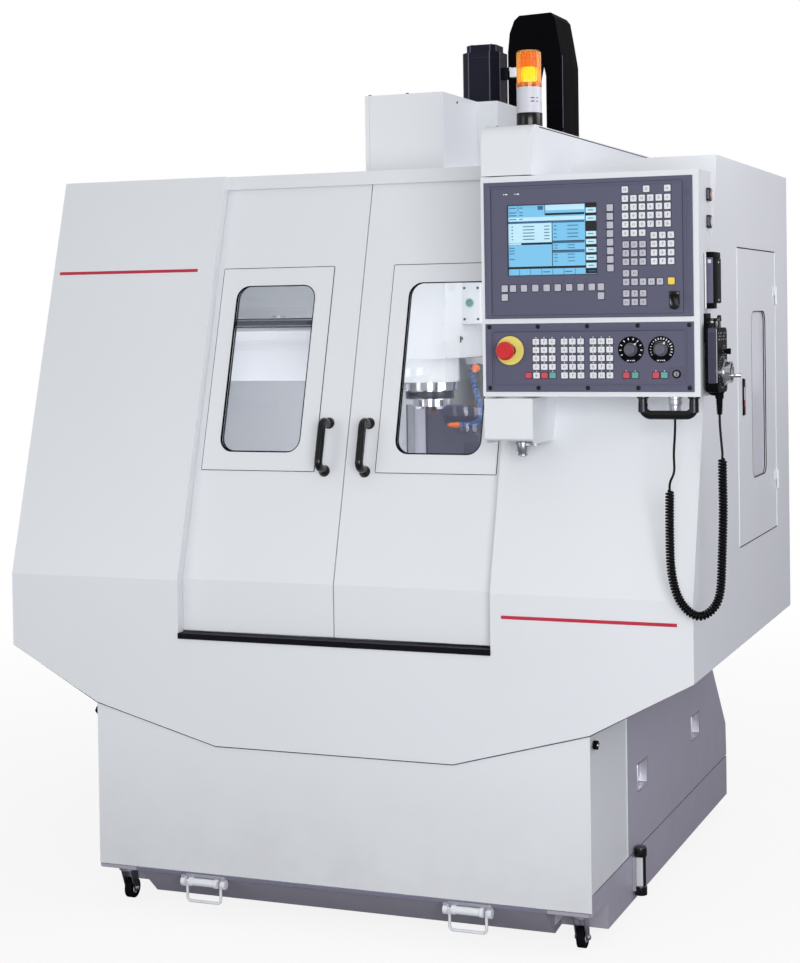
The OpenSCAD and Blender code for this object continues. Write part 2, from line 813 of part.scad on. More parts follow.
module pendant_case() at_centre() {
    x1 = pendant_x + pendant_w;
    y1 = pendant_y + pendant_d;
    z1 = pendant_z + pendant_h;
    color(paint_white) difference() {
        union() {
            difference() {
                block(pendant_x, x1, pendant_y, y1, pendant_z, z1);
                block(pendant_x + pendant_wall, x1 - pendant_wall, pendant_y + pendant_wall,
                    y1 - pendant_wall, pendant_z + pendant_wall, z1 - pendant_wall);
            }
            // bezels of the two rocker switches
            for (z = rocker_z) translate([side_x, rocker_y, z])
                block(-1, 6, -12.5, 12.5, -14, 14);
            // pivot blocks in the top and the bottom
            for (z = [pendant_z + 1, z1 - 25])
                block(pendant_x + 1, pivot[0] + 40, pendant_y + 20, y1 - 1, z, z + 24);
        }
        // cut-outs behind the two panels
        block(screen_panel[0] + 10, screen_panel[1] - 10, pendant_y - 1, pendant_y + 5,
            screen_panel[2] + 10, screen_panel[3] - 10);
        block(button_panel[0] + 10, button_panel[1] - 10, pendant_y - 1, pendant_y + 5,
            button_panel[2] + 10, button_panel[3] - 10);
        // pivot bores
        translate([pivot[0], pivot[1], pendant_z - 1]) cylinder(h = 17, r = pivot_r + fit);
        translate([pivot[0], pivot[1], z1 - 16]) cylinder(h = 17, r = pivot_r + fit);
        // windows and pin holes of the two rocker switches
        for (z = rocker_z) translate([side_x + rocker_out, rocker_y, z]) {
            block(-12, pendant_wall + 2, -9.5, 9.5, -11.8, 11.8);
            translate([0, -12, 0]) rotate([-90, 0, 0]) cylinder(h = 24, r = 1 + fit);
        }
    }
}

// panel plate with a stepped back that fills its cut-out
module panel_plate(edges) {
    block(edges[0], edges[1], face_y, pendant_y, edges[2], edges[3]);
    block(edges[0] + 10.5, edges[1] - 10.5, pendant_y - 1, pendant_y + 10, edges[2] + 10.5,
        edges[3] - 10.5);
}

screen_x = [486, 695.5];
screen_z = [1571, 1731];
port_x = [859, 882];
port_z = [1490, 1530];

module display_panel() at_centre() {
    color(panel_blue) difference() {
        union() {
            panel_plate(screen_panel);
            // raised bead round the keys and the screen
            along_y(face_y - 1.5, face_y + 1) difference() {
                round_rect(screen_panel[0] + 14, screen_panel[1] - 14, screen_panel[2] + 12,
                    screen_panel[3] - 12, 5);
                round_rect(screen_panel[0] + 17, screen_panel[1] - 17, screen_panel[2] + 15,
                    screen_panel[3] - 15, 4);
            }
        }
        block(screen_x[0], screen_x[1], face_y - 1, face_y + 4, screen_z[0], screen_z[1]);
        // card port
        block(port_x[0], port_x[1], face_y - 1, face_y + 3, port_z[0], port_z[1]);
    }
}

stop_at = [489, 1401.5];
stop_r = 11;
knob_z = 1402;
feed_x = 771;
speed_x = 839.5;
key_at = [874, 1347.5];
key_r = 6.5;
shaft_r = 3;

module at_panel(x, z) {
    translate([x, face_y, z]) rotate([90, 0, 0]) children();
}

module control_panel() at_centre() {
    color(panel_blue) difference() {
        union() {
            panel_plate(button_panel);
            along_y(face_y - 1.5, face_y + 1) difference() {
                round_rect(button_panel[0] + 17, button_panel[1] - 17, button_panel[2] + 14,
                    button_panel[3] - 14, 5);
                round_rect(button_panel[0] + 20, button_panel[1] - 20, button_panel[2] + 17,
                    button_panel[3] - 17, 4);
            }
            // yellow ring under the stop button
            at_panel(stop_at[0], stop_at[1]) translate([0, 0, -1]) cylinder(h = 4, r = 32);
        }
        at_panel(stop_at[0], stop_at[1]) translate([0, 0, -30]) cylinder(h = 40, r = stop_r + fit);
        for (x = [feed_x, speed_x]) at_panel(x, knob_z) translate([0, 0, -30])
            cylinder(h = 40, r = shaft_r + fit);
        at_panel(key_at[0], key_at[1]) translate([0, 0, -30]) cylinder(h = 40, r = key_r + fit);
    }
}

module stop_button() at_centre() {
    color("crimson") at_panel(stop_at[0], stop_at[1]) {
        translate([0, 0, -8]) cylinder(h = 40, r = stop_r);
        translate([0, 0, 26]) cylinder(h = 7, r1 = 14, r2 = 21);
        translate([0, 0, 32.9]) cylinder(h = 8, r = 21);
        translate([0, 0, 40.8]) cylinder(h = 5, r1 = 21, r2 = 16);
    }
}

module selector_knob(x) {
    color(black) at_panel(x, knob_z) difference() {
        union() {
            translate([0, 0, -8]) cylinder(h = 12, r = shaft_r);
            translate([0, 0, 1.5]) cylinder(h = 5, r = 15);
            translate([0, 0, 6]) cylinder(h = 12, r1 = 12.7, r2 = 11.5);
        }
        translate([-0.8, 4, 17]) cube([1.6, 9, 2]);
    }
}

module feed_knob() at_centre() selector_knob(feed_x);
module speed_knob() at_centre() selector_knob(speed_x);

module key_switch() at_centre() {
    color(steel) at_panel(key_at[0], key_at[1]) difference() {
        union() {
            translate([0, 0, -8]) cylinder(h = 10, r = key_r);
            translate([0, 0, 0.3]) cylinder(h = 4, r = 8);
        }
        translate([-1, -5, 2.8]) cube([2, 10, 2]);
    }
}

// switch in the side wall of the pendant, rocking about Y
module rocker(z) {
    color(black) translate([side_x + rocker_out, rocker_y, z]) {
        along_y(-9, 9) polygon([[-8, -5], [2, -10.5], [7, -10.5], [5.5, 0], [7, 10.5],
            [2, 10.5], [-8, 5]]);
        translate([0, -11.5, 0]) rotate([-90, 0, 0]) cylinder(h = 23, r = 1);
    }
}

module rocker_upper() at_centre() rocker(rocker_z[0]);
module rocker_lower() at_centre() rocker(rocker_z[1]);

bow_x = [793, 908];
bow_y = -48;
bow_z = 1256;

module pendant_handle() at_centre() {
    r = 10;
    bend = 18;
    color(black) {
        for (x = bow_x) translate([x, bow_y, bow_z + bend])
            cylinder(h = pendant_z - bow_z - bend, r = r);
        translate([bow_x[0] + bend, bow_y, bow_z]) rotate([0, 90, 0])
            cylinder(h = bow_x[1] - bow_x[0] - 2 * bend, r = r);
        translate([bow_x[0] + bend, bow_y, bow_z + bend]) rotate([90, 0, 0])
            rotate([0, 0, 180]) rotate_extrude(angle = 90) translate([bend, 0]) circle(r);
        translate([bow_x[1] - bend, bow_y, bow_z + bend]) rotate([90, 0, 0])
            rotate([0, 0, 270]) rotate_extrude(angle = 90) translate([bend, 0]) circle(r);
    }
}

plug_at = [856, -8];
plug_z = 1250;
relief_at = [955, -2];
relief_z = 1256;

// screwed plug in the underside of the pendant
module cord_connector() at_centre() {
    color(steel) translate([plug_at[0], plug_at[1], 0]) {
        translate([0, 0, 1276]) cylinder(h = pendant_z - 1276, r = 14.5);
        translate([0, 0, 1262]) cylinder(h = 15, r = 12.5);
        translate([0, 0, plug_z]) cylinder(h = 13, r = 8);
    }
}

unit_x = [side_x + 9, 961];
unit_y = [-45, 50];
unit_z = [1305, 1447];
wheel_at = [0, 1349];
wheel_r = 29;
selector_at = [20, 1395];

module handwheel_unit() at_centre() {
    color(black) difference() {
        union() {
            // body with rounded corners
            translate([unit_x[0], 0, 0]) rotate([90, 0, 90]) linear_extrude(unit_x[1] - unit_x[0])
                round_rect(unit_y[0], unit_y[1], unit_z[0], unit_z[1], 14);
            // hook that hangs on the pendant
            block(side_x, unit_x[0] + 1, -22, 22, 1415, 1441);
            block(side_x, side_x + 6, -22, 22, 1440, 1480);
            // boot and strain relief of the cord
            translate([relief_at[0], relief_at[1], unit_z[0] - 15]) cylinder(h = 16, r = 9,
                $fn = 32);
            translate([relief_at[0], relief_at[1], relief_z]) cylinder(h = unit_z[0] - 14 - relief_z,
                r1 = 5, r2 = 7, $fn = 32);
        }
        translate([unit_x[1] - 10, wheel_at[0], wheel_at[1]]) rotate([0, 90, 0])
            cylinder(h = 20, r = 5 + fit);
        translate([unit_x[1] - 10, selector_at[0], selector_at[1]]) rotate([0, 90, 0])
            cylinder(h = 20, r = 3 + fit);
    }
}

// dished handwheel with its crank pin
module handwheel() at_centre() {
    color(steel) translate([unit_x[1], wheel_at[0], wheel_at[1]]) rotate([0, 90, 0]) {
        difference() {
            union() {
                translate([0, 0, -8]) cylinder(h = 12, r = 5);
                translate([0, 0, 1]) cylinder(h = 7, r = wheel_r, $fn = 96);
                translate([0, 0, 7]) cylinder(h = 15, r = 24, $fn = 96);
            }
            translate([0, 0, 16]) cylinder(h = 7, r = 20);
        }
        translate([0, 0, 15]) cylinder(h = 7, r = 8);
        translate([7, 12, 14]) cylinder(h = 26, r = 3.5);
    }
}

module axis_selector() at_centre() {
    color(black) translate([unit_x[1], selector_at[0], selector_at[1]]) rotate([0, 90, 0]) {
        translate([0, 0, -8]) cylinder(h = 15, r = 3);
        translate([0, 0, 5]) cylinder(h = 9, r = 6.2);
        translate([-6.5, -1.5, 10]) cube([13, 3, 6]);
    }
}

cord_r = 3.2;
coil_r = 10.5;
// routes of the cord: from the plug down, through the coil, up to the strain relief
lead_left = [[856, -8, 1249.5], [856, -12, 1215], [856, -24, 1170], [858, -32, 1130],
    [850, -34, 1108], [848, -34, 1098], [848, -34, 1090]];
coil_route = [[848, -34, 1089.5], [847, -34, 1000], [849, -34, 915], [861, -34, 858],
    [883, -33, 823], [912, -30, 809], [940, -24, 826], [955, -18, 862], [959, -12, 940],
    [961, -5, 1040], [960, -2, 1120], [960, -2, 1160]];
lead_right = [[960, -2, 1160.5], [960, -2, 1172], [958, -2, 1196], [955.5, -2, 1230],
    [955, -2, 1256]];

module cord_lead_left() at_centre() color(black) tube_along(smooth(lead_left, 3), cord_r, 10);
module cord_coil() at_centre() color(black) tube_along(smooth(coil_route, 4), coil_r, 12);
module cord_lead_right() at_centre() color(black) tube_along(smooth(lead_right, 3), cord_r, 10);

// ---------- cable chain ----------

chain_x = [133, 295];
chain_y = [1030, 1190];
chain_foot_z = hood_top + 5;
chain_moving_z = 2000;
// the links bend in straight steps: outside of the bend, then its inside
chain_outer = [[133, 2232], [139, 2288], [153, 2323], [168, 2336], [262, 2339], [273, 2325],
    [284, 2263], [295, 2195]];
chain_inner = [[246, 2160], [234, 2218], [222, 2238], [206, 2238], [194, 2218], [182, 2160]];

module cable_chain() at_centre() {
    color(black) along_y(chain_y[0], chain_y[1]) polygon(concat(
        // the moving run ends higher, beside the head cover
        [[chain_outer[0][0], chain_moving_z]], chain_outer,
        [[chain_x[1], chain_foot_z], [chain_inner[0][0], chain_foot_z]], chain_inner,
        [[chain_inner[5][0], chain_moving_z]]));
}

// ---------- tool magazine ----------

magazine_x = [-800, -232];
magazine_y = [500, 920];
magazine_z = [1312, 1483];
carousel_at = [-455, 710];
carousel_r = 176;
pockets = 10;
disc_z = 1392;

module magazine_cover() at_centre() {
    color(paint_white) {
        difference() {
            along_x(magazine_x[0], magazine_x[1], [[magazine_y[0], magazine_z[0]],
                [magazine_y[0], 1420], [magazine_y[0] + 16, 1454], [magazine_y[0] + 16,
                magazine_z[1]], [magazine_y[1], magazine_z[1]], [magazine_y[1], magazine_z[0]]]);
            // open below and towards the spindle
            along_x(magazine_x[0] + sheet, magazine_x[1] + 1, [[magazine_y[0] + sheet,
                magazine_z[0] - 1], [magazine_y[0] + sheet, 1419], [magazine_y[0] + 16 + sheet,
                1453], [magazine_y[0] + 16 + sheet, magazine_z[1] - sheet],
                [magazine_y[1] - sheet, magazine_z[1] - sheet], [magazine_y[1] - sheet,
                magazine_z[0] - 1]]);
            // hole of the carousel shaft
            translate([carousel_at[0], carousel_at[1], magazine_z[1] - 9])
                cylinder(h = 10, r = 18 + fit);
        }
        // beams to the rear wall
        for (x = [-760, -330]) block(x, x + 40, magazine_y[1] - 1, hood_d - sheet, 1440, 1480);
    }
}

module tool_carousel() at_centre() {
    pocket_at = carousel_r - 22;
    color(cast_grey) translate([carousel_at[0], carousel_at[1], 0]) {
        difference() {
            translate([0, 0, disc_z]) cylinder(h = 14, r = carousel_r, $fn = 96);
            // open pockets along the rim
            for (i = [0:pockets - 1]) rotate(360 / pockets * i) {
                translate([pocket_at, 0, disc_z - 1]) cylinder(h = 16, r = 19);
                translate([pocket_at, -14, disc_z - 1]) cube([40, 28, 16]);
            }
        }
        translate([0, 0, disc_z - 30]) cylinder(h = 70, r = 45);
        translate([0, 0, disc_z + 39]) cylinder(h = magazine_z[1] + 6 - disc_z - 39, r = 18);
        for (i = [0:pockets - 1]) rotate(360 / pockets * i)
            translate([pocket_at, 0, disc_z]) tool_holder();
    }
}

// taper holder gripped at its groove, with a short cutter below
module tool_holder() {
    rotate_extrude() polygon([[0, 76], [8, 76], [8, 66], [5, 64], [10, 60], [19, 22], [23, 22],
        [23, 15], [19.5, 12], [19.5, 2], [23, -1], [23, -8], [14, -9], [14, -24], [6, -26],
        [6, -62], [0, -62]]);
}

// ---------- control cabinet ----------

cabinet_x = [-330, 330];
cabinet_y = [column_y[1], 1556];
cabinet_z = [700, 1790];
hinge_at = [cabinet_x[1] + 6, cabinet_y[1] + 1];
hinge_z = [820, 1620];

module control_cabinet() at_centre() {
    color(paint_white) difference() {
        block(cabinet_x[0], cabinet_x[1], cabinet_y[0], cabinet_y[1], cabinet_z[0],
            cabinet_z[1]);
        block(cabinet_x[0] + 3, cabinet_x[1] - 3, cabinet_y[0] + 4, cabinet_y[1] - 3,
            cabinet_z[0] + 3, cabinet_z[1] - 3);
        // front frame of the door side
        block(cabinet_x[0] + 22, cabinet_x[1] - 22, cabinet_y[1] - 4, cabinet_y[1] + 1,
            cabinet_z[0] + 22, cabinet_z[1] - 22);
    }
    // lower knuckles and pins of the hinges
    color(paint_white) for (z = hinge_z) {
        translate([hinge_at[0], hinge_at[1], z]) cylinder(h = 20, r = 6);
        translate([hinge_at[0], hinge_at[1], z + 19]) cylinder(h = 36, r = 3);
        block(cabinet_x[1] - 1, hinge_at[0], cabinet_y[1] - 5, cabinet_y[1], z, z + 20);
    }
}

module cabinet_door() at_centre() {
    color(paint_white) {
        difference() {
            block(cabinet_x[0], cabinet_x[1], cabinet_y[1] + 2, cabinet_y[1] + 22,
                cabinet_z[0], cabinet_z[1]);
            block(cabinet_x[0] + 2, cabinet_x[1] - 2, cabinet_y[1] + 1, cabinet_y[1] + 20,
                cabinet_z[0] + 2, cabinet_z[1] - 2);
        }
        // upper knuckles of the hinges
        for (z = hinge_z) difference() {
            union() {
                translate([hinge_at[0], hinge_at[1], z + 21]) cylinder(h = 40, r = 6);
                block(cabinet_x[1] - 1, hinge_at[0], cabinet_y[1] + 3, cabinet_y[1] + 7, z + 21,
                    z + 61);
            }
            translate([hinge_at[0], hinge_at[1], z + 20]) cylinder(h = 36, r = 3 + fit);
        }
        // swing handle of the lock
        block(cabinet_x[0] + 34, cabinet_x[0] + 60, cabinet_y[1] + 21, cabinet_y[1] + 32, 1190,
            1330);
    }
}

// ---------- coolant tank ----------

tank_y0 = 6.5;
notch_y = 143;
notch_z = 98;
cross_y = 415;
arm_inner = 330;
wall = 3;

// plan outline of the tank, shrunk by an inset
module tank_plan(inset, y0) {
    polygon([[-base_half + inset, y0], [base_half - inset, y0],
        [base_half - inset, base_d - inset], [arm_inner + inset, base_d - inset],
        [arm_inner + inset, cross_y - inset], [-arm_inner - inset, cross_y - inset],
        [-arm_inner - inset, base_d - inset], [-base_half + inset, base_d - inset]]);
}

caster_at = [600, 66];
swivel_z = 92;
bail_x = 347;
bail_half = 55;
bail_z = 88;
bail_y = -5;
bail_r = 3.5;
gauge_at = [base_half + 16.5, 385];

module coolant_tank() at_centre() {
    color(paint_base) {
        difference() {
            union() {
                translate([0, 0, tank_floor]) linear_extrude(tank_top - tank_floor)
                    tank_plan(0, tank_y0);
                // lip under the front cover
                block(-base_half + 6, base_half - 6, 0, tank_y0 + 1, notch_z, 106);
            }
            // step over the casters
            block(-base_half - 1, base_half + 1, -1, notch_y, tank_floor - 1, notch_z);
            // open inside, in two depths
            translate([0, 0, notch_z + wall]) linear_extrude(tank_top) tank_plan(wall, tank_y0
                + wall);
            translate([0, 0, tank_floor + wall]) linear_extrude(tank_top)
                tank_plan(wall, notch_y + wall);
        }
        // sloping chin between the casters
        along_y(90, notch_y + 1) polygon([[-579, notch_z + 1], [-527, 38], [527, 38],
            [579, notch_z + 1]]);
        // caster plates
        both_sides() difference() {
            translate([0, 0, swivel_z]) linear_extrude(notch_z - swivel_z + 1)
                translate([caster_at[0], caster_at[1]]) square(60, center = true);
            translate([caster_at[0], caster_at[1], swivel_z - 1]) cylinder(h = 6, r = 8 + fit);
        }
        // rear glides
        both_sides() block(440, 540, 1300, 1400, 0, tank_floor + 1);
        // level gauge on the right flank
        block(base_half - 0.5, gauge_at[0] - 9, 372, 398, 54, 138);
        translate([gauge_at[0], gauge_at[1], 46]) cylinder(h = 114, r = 12.5);
        for (z = [44, 140]) translate([gauge_at[0], gauge_at[1], z]) cylinder(h = 22, r = 15);
        // lugs of the two bails
        for (side = [-1, 1], end = [-1, 1]) difference() {
            block(side * bail_x + end * bail_half - 5, side * bail_x + end * bail_half + 5,
                bail_y - 7, 3, bail_z - 7, notch_z + 4);
            translate([side * bail_x + end * bail_half - 6, bail_y, bail_z])
                rotate([0, 90, 0]) cylinder(h = 12, r = bail_r + fit);
        }
    }
}

// wire bail hanging from its lugs
module bail(x) {
    drop = 50;
    bend = 10;
    leg = bail_half - 9;
    color(steel) translate([x, bail_y, bail_z]) {
        both_sides() {
            translate([leg, 0, 0]) rotate([0, 90, 0]) cylinder(h = 15, r = bail_r);
            translate([leg, 0, -drop + bend]) cylinder(h = drop - bend, r = bail_r);
            translate([leg, 0, 0]) sphere(bail_r);
            translate([leg - bend, 0, -drop + bend]) rotate([90, 0, 0])
                rotate([0, 0, 270]) rotate_extrude(angle = 90) translate([bend, 0])
                circle(bail_r);
        }
        translate([-leg + bend, 0, -drop]) rotate([0, 90, 0]) cylinder(h = 2 * (leg - bend),
            r = bail_r);
    }
}

module bail_left() at_centre() bail(-bail_x);
module bail_right() at_centre() bail(bail_x);

trail = 18;
wheel_radius = 25;
wheel_half = 9;
axle_r = 4;

module caster_fork() {
    color(steel) translate([caster_at[0], caster_at[1], 0]) {
        translate([0, 0, swivel_z - 14]) cylinder(h = 13.5, r = 24);
        translate([0, 0, swivel_z - 4]) cylinder(h = 8, r = 8);
        difference() {
            union() {
                for (m = [-1, 1]) translate([m * 13 - 1.5, 0, 0]) rotate([90, 0, 90])
                    linear_extrude(3) polygon([[-16, swivel_z - 13], [trail - 9, 18],
                    [trail + 9, 18], [22, swivel_z - 13]]);
            }
            translate([-20, trail, wheel_radius]) rotate([0, 90, 0])
                cylinder(h = 40, r = axle_r + fit);
        }
    }
}

module caster_wheel() {
    color(black) translate([caster_at[0], caster_at[1] + trail, wheel_radius])
        rotate([0, 90, 0]) {
            translate([0, 0, -15]) cylinder(h = 30, r = axle_r);
            translate([0, 0, -wheel_half]) rotate_extrude($fn = 96) polygon([[3, 0],
                [wheel_radius - 3, 0], [wheel_radius, 3], [wheel_radius, 2 * wheel_half - 3],
                [wheel_radius - 3, 2 * wheel_half], [3, 2 * wheel_half]]);
        }
}

module caster_fork_right() at_centre() caster_fork();
module caster_fork_left() at_centre() mirror([1, 0, 0]) caster_fork();
module caster_wheel_right() at_centre() caster_wheel();
module caster_wheel_left() at_centre() mirror([1, 0, 0]) caster_wheel();

// folded cover that closes the front and rolls out with the tank
module base_front_cover() at_centre() {
    color(paint_white) {
        along_y(sheet + 0.3, 2 * sheet + 0.3) polygon([[-base_half, 107],
            [-base_half, apron_corner[1] - gap], [-apron_middle[0], apron_middle[1] - gap],
            [apron_middle[0], apron_middle[1] - gap], [base_half, apron_corner[1] - gap],
            [base_half, 107]]);
        both_sides() {
            along_x(base_half - sheet, base_half, [[sheet + 1, tank_top + 4],
                [cover_y0 - 4, tank_top + 4], [cover_y0 - 4, apron_corner[1] - 3],
                [sheet + 1, apron_corner[1] - 3]]);
            // inner fold along the rear edge
            block(base_half - 22, base_half - 1, cover_y0 - 7, cover_y0 - 4, tank_top + 4,
                apron_corner[1] - 20);
            // thumbscrew
            translate([base_half - 1, 26, 492]) rotate([0, 90, 0]) cylinder(h = 5, r = 5);
            translate([base_half + 3, 26, 492]) rotate([0, 90, 0]) cylinder(h = 9, r = 10);
        }
        // shelf that rests on the tank
        block(-base_half + 3, base_half - 3, 2 * sheet, 30, tank_top, tank_top + sheet);
    }
}

machine_bed();
column();
z_motor();
front_shell();
side_panel_left();
side_panel_right();
roof_panel();
chip_trough();
base_rear_cover();
door_rail();
splash_panel();
pendant_arm();
pendant_bracket();
tower_body();
tower_lens();
magazine_cover();
tool_carousel();
control_cabinet();
cabinet_door();
door_left();
door_right();
glass_left();
glass_right();
handle_left();
handle_right();
side_door();
side_glass();
side_latch();
saddle();
table();
head_casting();
head_cover();
spindle();
coolant_hoses();
cable_chain();
pendant_case();
display_panel();
control_panel();
stop_button();
feed_knob();
speed_knob();
key_switch();
rocker_upper();
rocker_lower();
pendant_handle();
cord_connector();
handwheel_unit();
handwheel();
axis_selector();
cord_lead_left();
cord_coil();
cord_lead_right();
base_front_cover();
coolant_tank();
bail_left();
bail_right();
caster_fork_left();
caster_fork_right();
caster_wheel_left();
caster_wheel_right();
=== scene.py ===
import bmesh
import bpy
import math
import numpy as np
from mathutils import Matrix, Vector


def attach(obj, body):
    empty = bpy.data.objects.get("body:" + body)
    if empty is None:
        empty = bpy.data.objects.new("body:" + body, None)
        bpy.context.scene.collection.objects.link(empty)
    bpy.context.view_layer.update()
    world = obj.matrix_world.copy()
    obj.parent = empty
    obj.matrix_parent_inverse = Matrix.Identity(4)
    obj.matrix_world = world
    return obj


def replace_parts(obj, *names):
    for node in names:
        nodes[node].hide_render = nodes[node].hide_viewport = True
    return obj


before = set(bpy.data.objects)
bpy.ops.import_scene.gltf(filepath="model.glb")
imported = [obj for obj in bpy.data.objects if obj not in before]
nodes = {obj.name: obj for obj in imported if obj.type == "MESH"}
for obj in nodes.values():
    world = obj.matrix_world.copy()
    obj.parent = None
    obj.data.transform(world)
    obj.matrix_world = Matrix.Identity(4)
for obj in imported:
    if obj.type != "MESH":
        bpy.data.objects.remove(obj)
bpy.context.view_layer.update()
scene = bpy.context.scene
print("frame loaded:", len(nodes), "nodes")

# places are measured from the apron's outer face and the centre plane; the model's origin, the
# middle of the floor area, lies this far from there
seat = np.array([0.0555, 0.740, 0.0])
right, back, up = np.eye(3)
front = -back
bothSides = (-1.0, 1.0)

# mesh tools


def makeObject(name, points, faces, material, body=None, slot=None, smooth=True):
    # a mesh object at the origin from points in metres and a list of faces
    mesh = bpy.data.meshes.new(name)
    mesh.from_pydata((np.asarray(points, float).reshape(-1, 3) - seat).tolist(), [],
                     [list(map(int, f)) for f in faces])
    mesh.validate()
    mesh.polygons.foreach_set("use_smooth", np.full(len(mesh.polygons), smooth))
    mesh.materials.append(material)
    mesh.update()
    piece = bpy.data.objects.new(name, mesh)
    scene.collection.objects.link(piece)
    if body:
        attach(piece, body)
    return piece


def finishMesh(piece, degrees):
    # faces turned to point out of each closed shell; edges sharper than the angle stay crisp
    mesh = piece.data
    work = bmesh.new()
    work.from_mesh(mesh)
    bmesh.ops.remove_doubles(work, verts=work.verts, dist=1e-7)
    bmesh.ops.recalc_face_normals(work, faces=work.faces)
    work.to_mesh(mesh)
    work.free()
    mesh.update()
    mesh.set_sharp_from_angle(angle=math.radians(degrees))


def gridFaces(rows, cols, closeRows=False, closeCols=False):
    # quads over a grid of rows by cols points, wrapping round where asked
    r = np.arange(rows if closeRows else rows - 1)
    c = np.arange(cols if closeCols else cols - 1)
    rr, cc = np.meshgrid(r, c, indexing="ij")
    r1, c1 = (rr + 1) % rows, (cc + 1) % cols
    quads = np.stack([rr * cols + cc, rr * cols + c1, r1 * cols + c1, r1 * cols + cc], -1)
    return quads.reshape(-1, 4).tolist()


def cappedFaces(rows, cols):
    # a stack of closed rings with a flat cap on the first and on the last
    ring = list(range(cols))
    return gridFaces(rows, cols, closeCols=True) + [ring[::-1],
                                                    [(rows - 1) * cols + k for k in ring]]


def hoop(rings):
    # rings joined in order, the last one back to the first
    rings = np.asarray(rings, float)
    return rings.reshape(-1, 3), gridFaces(len(rings), len(rings[0]), True, True)


def joinParts(parts):
    # several (points, faces) parts as one
    points, faces, start = [], [], 0
    for p, f in parts:
        points.append(np.asarray(p, float).reshape(-1, 3))
        faces += [[int(i) + start for i in face] for face in f]
        start += len(points[-1])
    return np.concatenate(points), faces


def unitRows(v):
    # every row brought to length one
    return v / np.maximum(np.linalg.norm(v, axis=-1, keepdims=True), 1e-12)


def acrossPath(path):
    # two directions square to the path's tangent and to each other
    t = unitRows(np.gradient(path, axis=0))
    a = np.cross(t, [0.0, 1.0, 0.02])
    weak = np.linalg.norm(a, axis=1) < 1e-3
    a[weak] = np.cross(t[weak], right)
    a = unitRows(a)
    return a, np.cross(t, a)


def tubeAlong(path, radius, sides=12):
    # circle of the given radius carried along the path, square to its tangent
    path = np.asarray(path, float)
    a, b = acrossPath(path)
    w = np.linspace(0, 2 * np.pi, sides, endpoint=False)
    r = np.broadcast_to(np.asarray(radius, float), (len(path),))[:, None, None]
    ring = a[:, None] * np.cos(w)[None, :, None] + b[:, None] * np.sin(w)[None, :, None]
    return (path[:, None] + r * ring).reshape(-1, 3), cappedFaces(len(path), sides)


def turned(profile, centre, axis, segments=48):
    # profile of (radius, height) pairs turned about an axis through centre
    profile, axis = np.asarray(profile, float), unitRows(np.asarray(axis, float))
    a = unitRows(np.cross(axis, up if abs(axis[2]) < 0.9 else right))
    b = np.cross(axis, a)
    w = np.linspace(0, 2 * np.pi, segments, endpoint=False)
    spoke = a[None] * np.cos(w)[:, None] + b[None] * np.sin(w)[:, None]
    points = (np.asarray(centre, float) + profile[:, None, :1] * spoke[None]
              + profile[:, None, 1:] * axis)
    hollow = min(profile[0, 0], profile[-1, 0]) > 0.02
    return points.reshape(-1, 3), gridFaces(len(profile), segments, hollow, True)


def roundedLoop(width, height, radius, steps=6):
    # outline of a rounded rectangle about the origin, counter-clockwise
    w = np.linspace(0, np.pi / 2, steps)
    arc = np.stack([np.cos(w), np.sin(w)], -1) * radius
    x, y = width / 2 - radius, height / 2 - radius
    quarter = [(1, 0, x, y), (0, 1, -x, y), (-1, 0, -x, -y), (0, -1, x, -y)]
    return np.concatenate([arc @ np.array([[c, s], [-s, c]]) + (u, v) for c, s, u, v in quarter])


def padBlock(width, height, depth, radius, bevel):
    # key-like pad: rounded outline, straight wall, softened edge and flat top, along +w
    outer = roundedLoop(width, height, radius, 4)
    inner = roundedLoop(width - 2 * bevel, height - 2 * bevel, max(radius - bevel, bevel), 4)
    rings = [np.c_[loop, np.full(len(loop), d)]
             for loop, d in ((outer, 0.0), (outer, depth - bevel), (inner, depth))]
    return np.concatenate(rings), cappedFaces(3, len(outer))


def stamped(part, origins, u, v, w):
    # copies of a part at many origins, its own axes laid along u, v and w
    points, faces = part
    laid = np.asarray(points) @ np.stack([u, v, w]).astype(float)
    return joinParts([(origin + laid, faces) for origin in np.asarray(origins, float)])


def slab(loop, place, thickness):
    # flat plate: loop of (u, v) points, put in space by place(u, v, depth)
    loop = np.asarray(loop, float)
    sides = [place(loop[:, 0], loop[:, 1], np.full(len(loop), d)) for d in (0.0, thickness)]
    return np.concatenate(sides), cappedFaces(2, len(loop))


def sweptFrame(centre, size, radius, profile, place, steps=7):
    # closed profile of (outset, depth) carried round a rounded rectangle
    rings = []
    for out, depth in profile:
        loop = roundedLoop(size[0] + 2 * out, size[1] + 2 * out, max(radius + out, 0.4),
                           steps) + centre
        rings.append(place(loop[:, 0], loop[:, 1], np.full(len(loop), float(depth))))
    return hoop(rings)


def plateOn(centre, size, radius, place, depth0, depth1, steps=5):
    # thin rounded plate between two depths
    return slab(roundedLoop(*size, radius, steps) + centre,
                lambda u, v, d: place(u, v, d + depth0), depth1 - depth0)


def boxPart(x0, x1, y0, y1, z0, z1, soft=0.8):
    # box with every edge softened: a rounded rectangle ringed up from a smaller one
    w, h, d = x1 - x0, y1 - y0, z1 - z0
    soft = min(soft, w / 3, h / 3, d / 3)
    loops = [np.c_[roundedLoop(w - 2 * i, h - 2 * i, soft, 3) + [(x0 + x1) / 2, (y0 + y1) / 2],
                   np.full(12, z0 + z)] for i, z in ((soft, 0.0), (0, soft), (0, d - soft),
                                                     (soft, d))]
    return np.concatenate(loops), cappedFaces(4, 12)


def sideBox(sign, x0, x1, *rest):
    # a box on the left or on the right of the centre plane
    return boxPart(*sorted((sign * x0, sign * x1)), *rest)


def boxAt(centre, size, soft):
    # a softened box about its middle
    return boxPart(*[c + k * s for c, s in zip(centre, size) for k in (-0.5, 0.5)], soft)


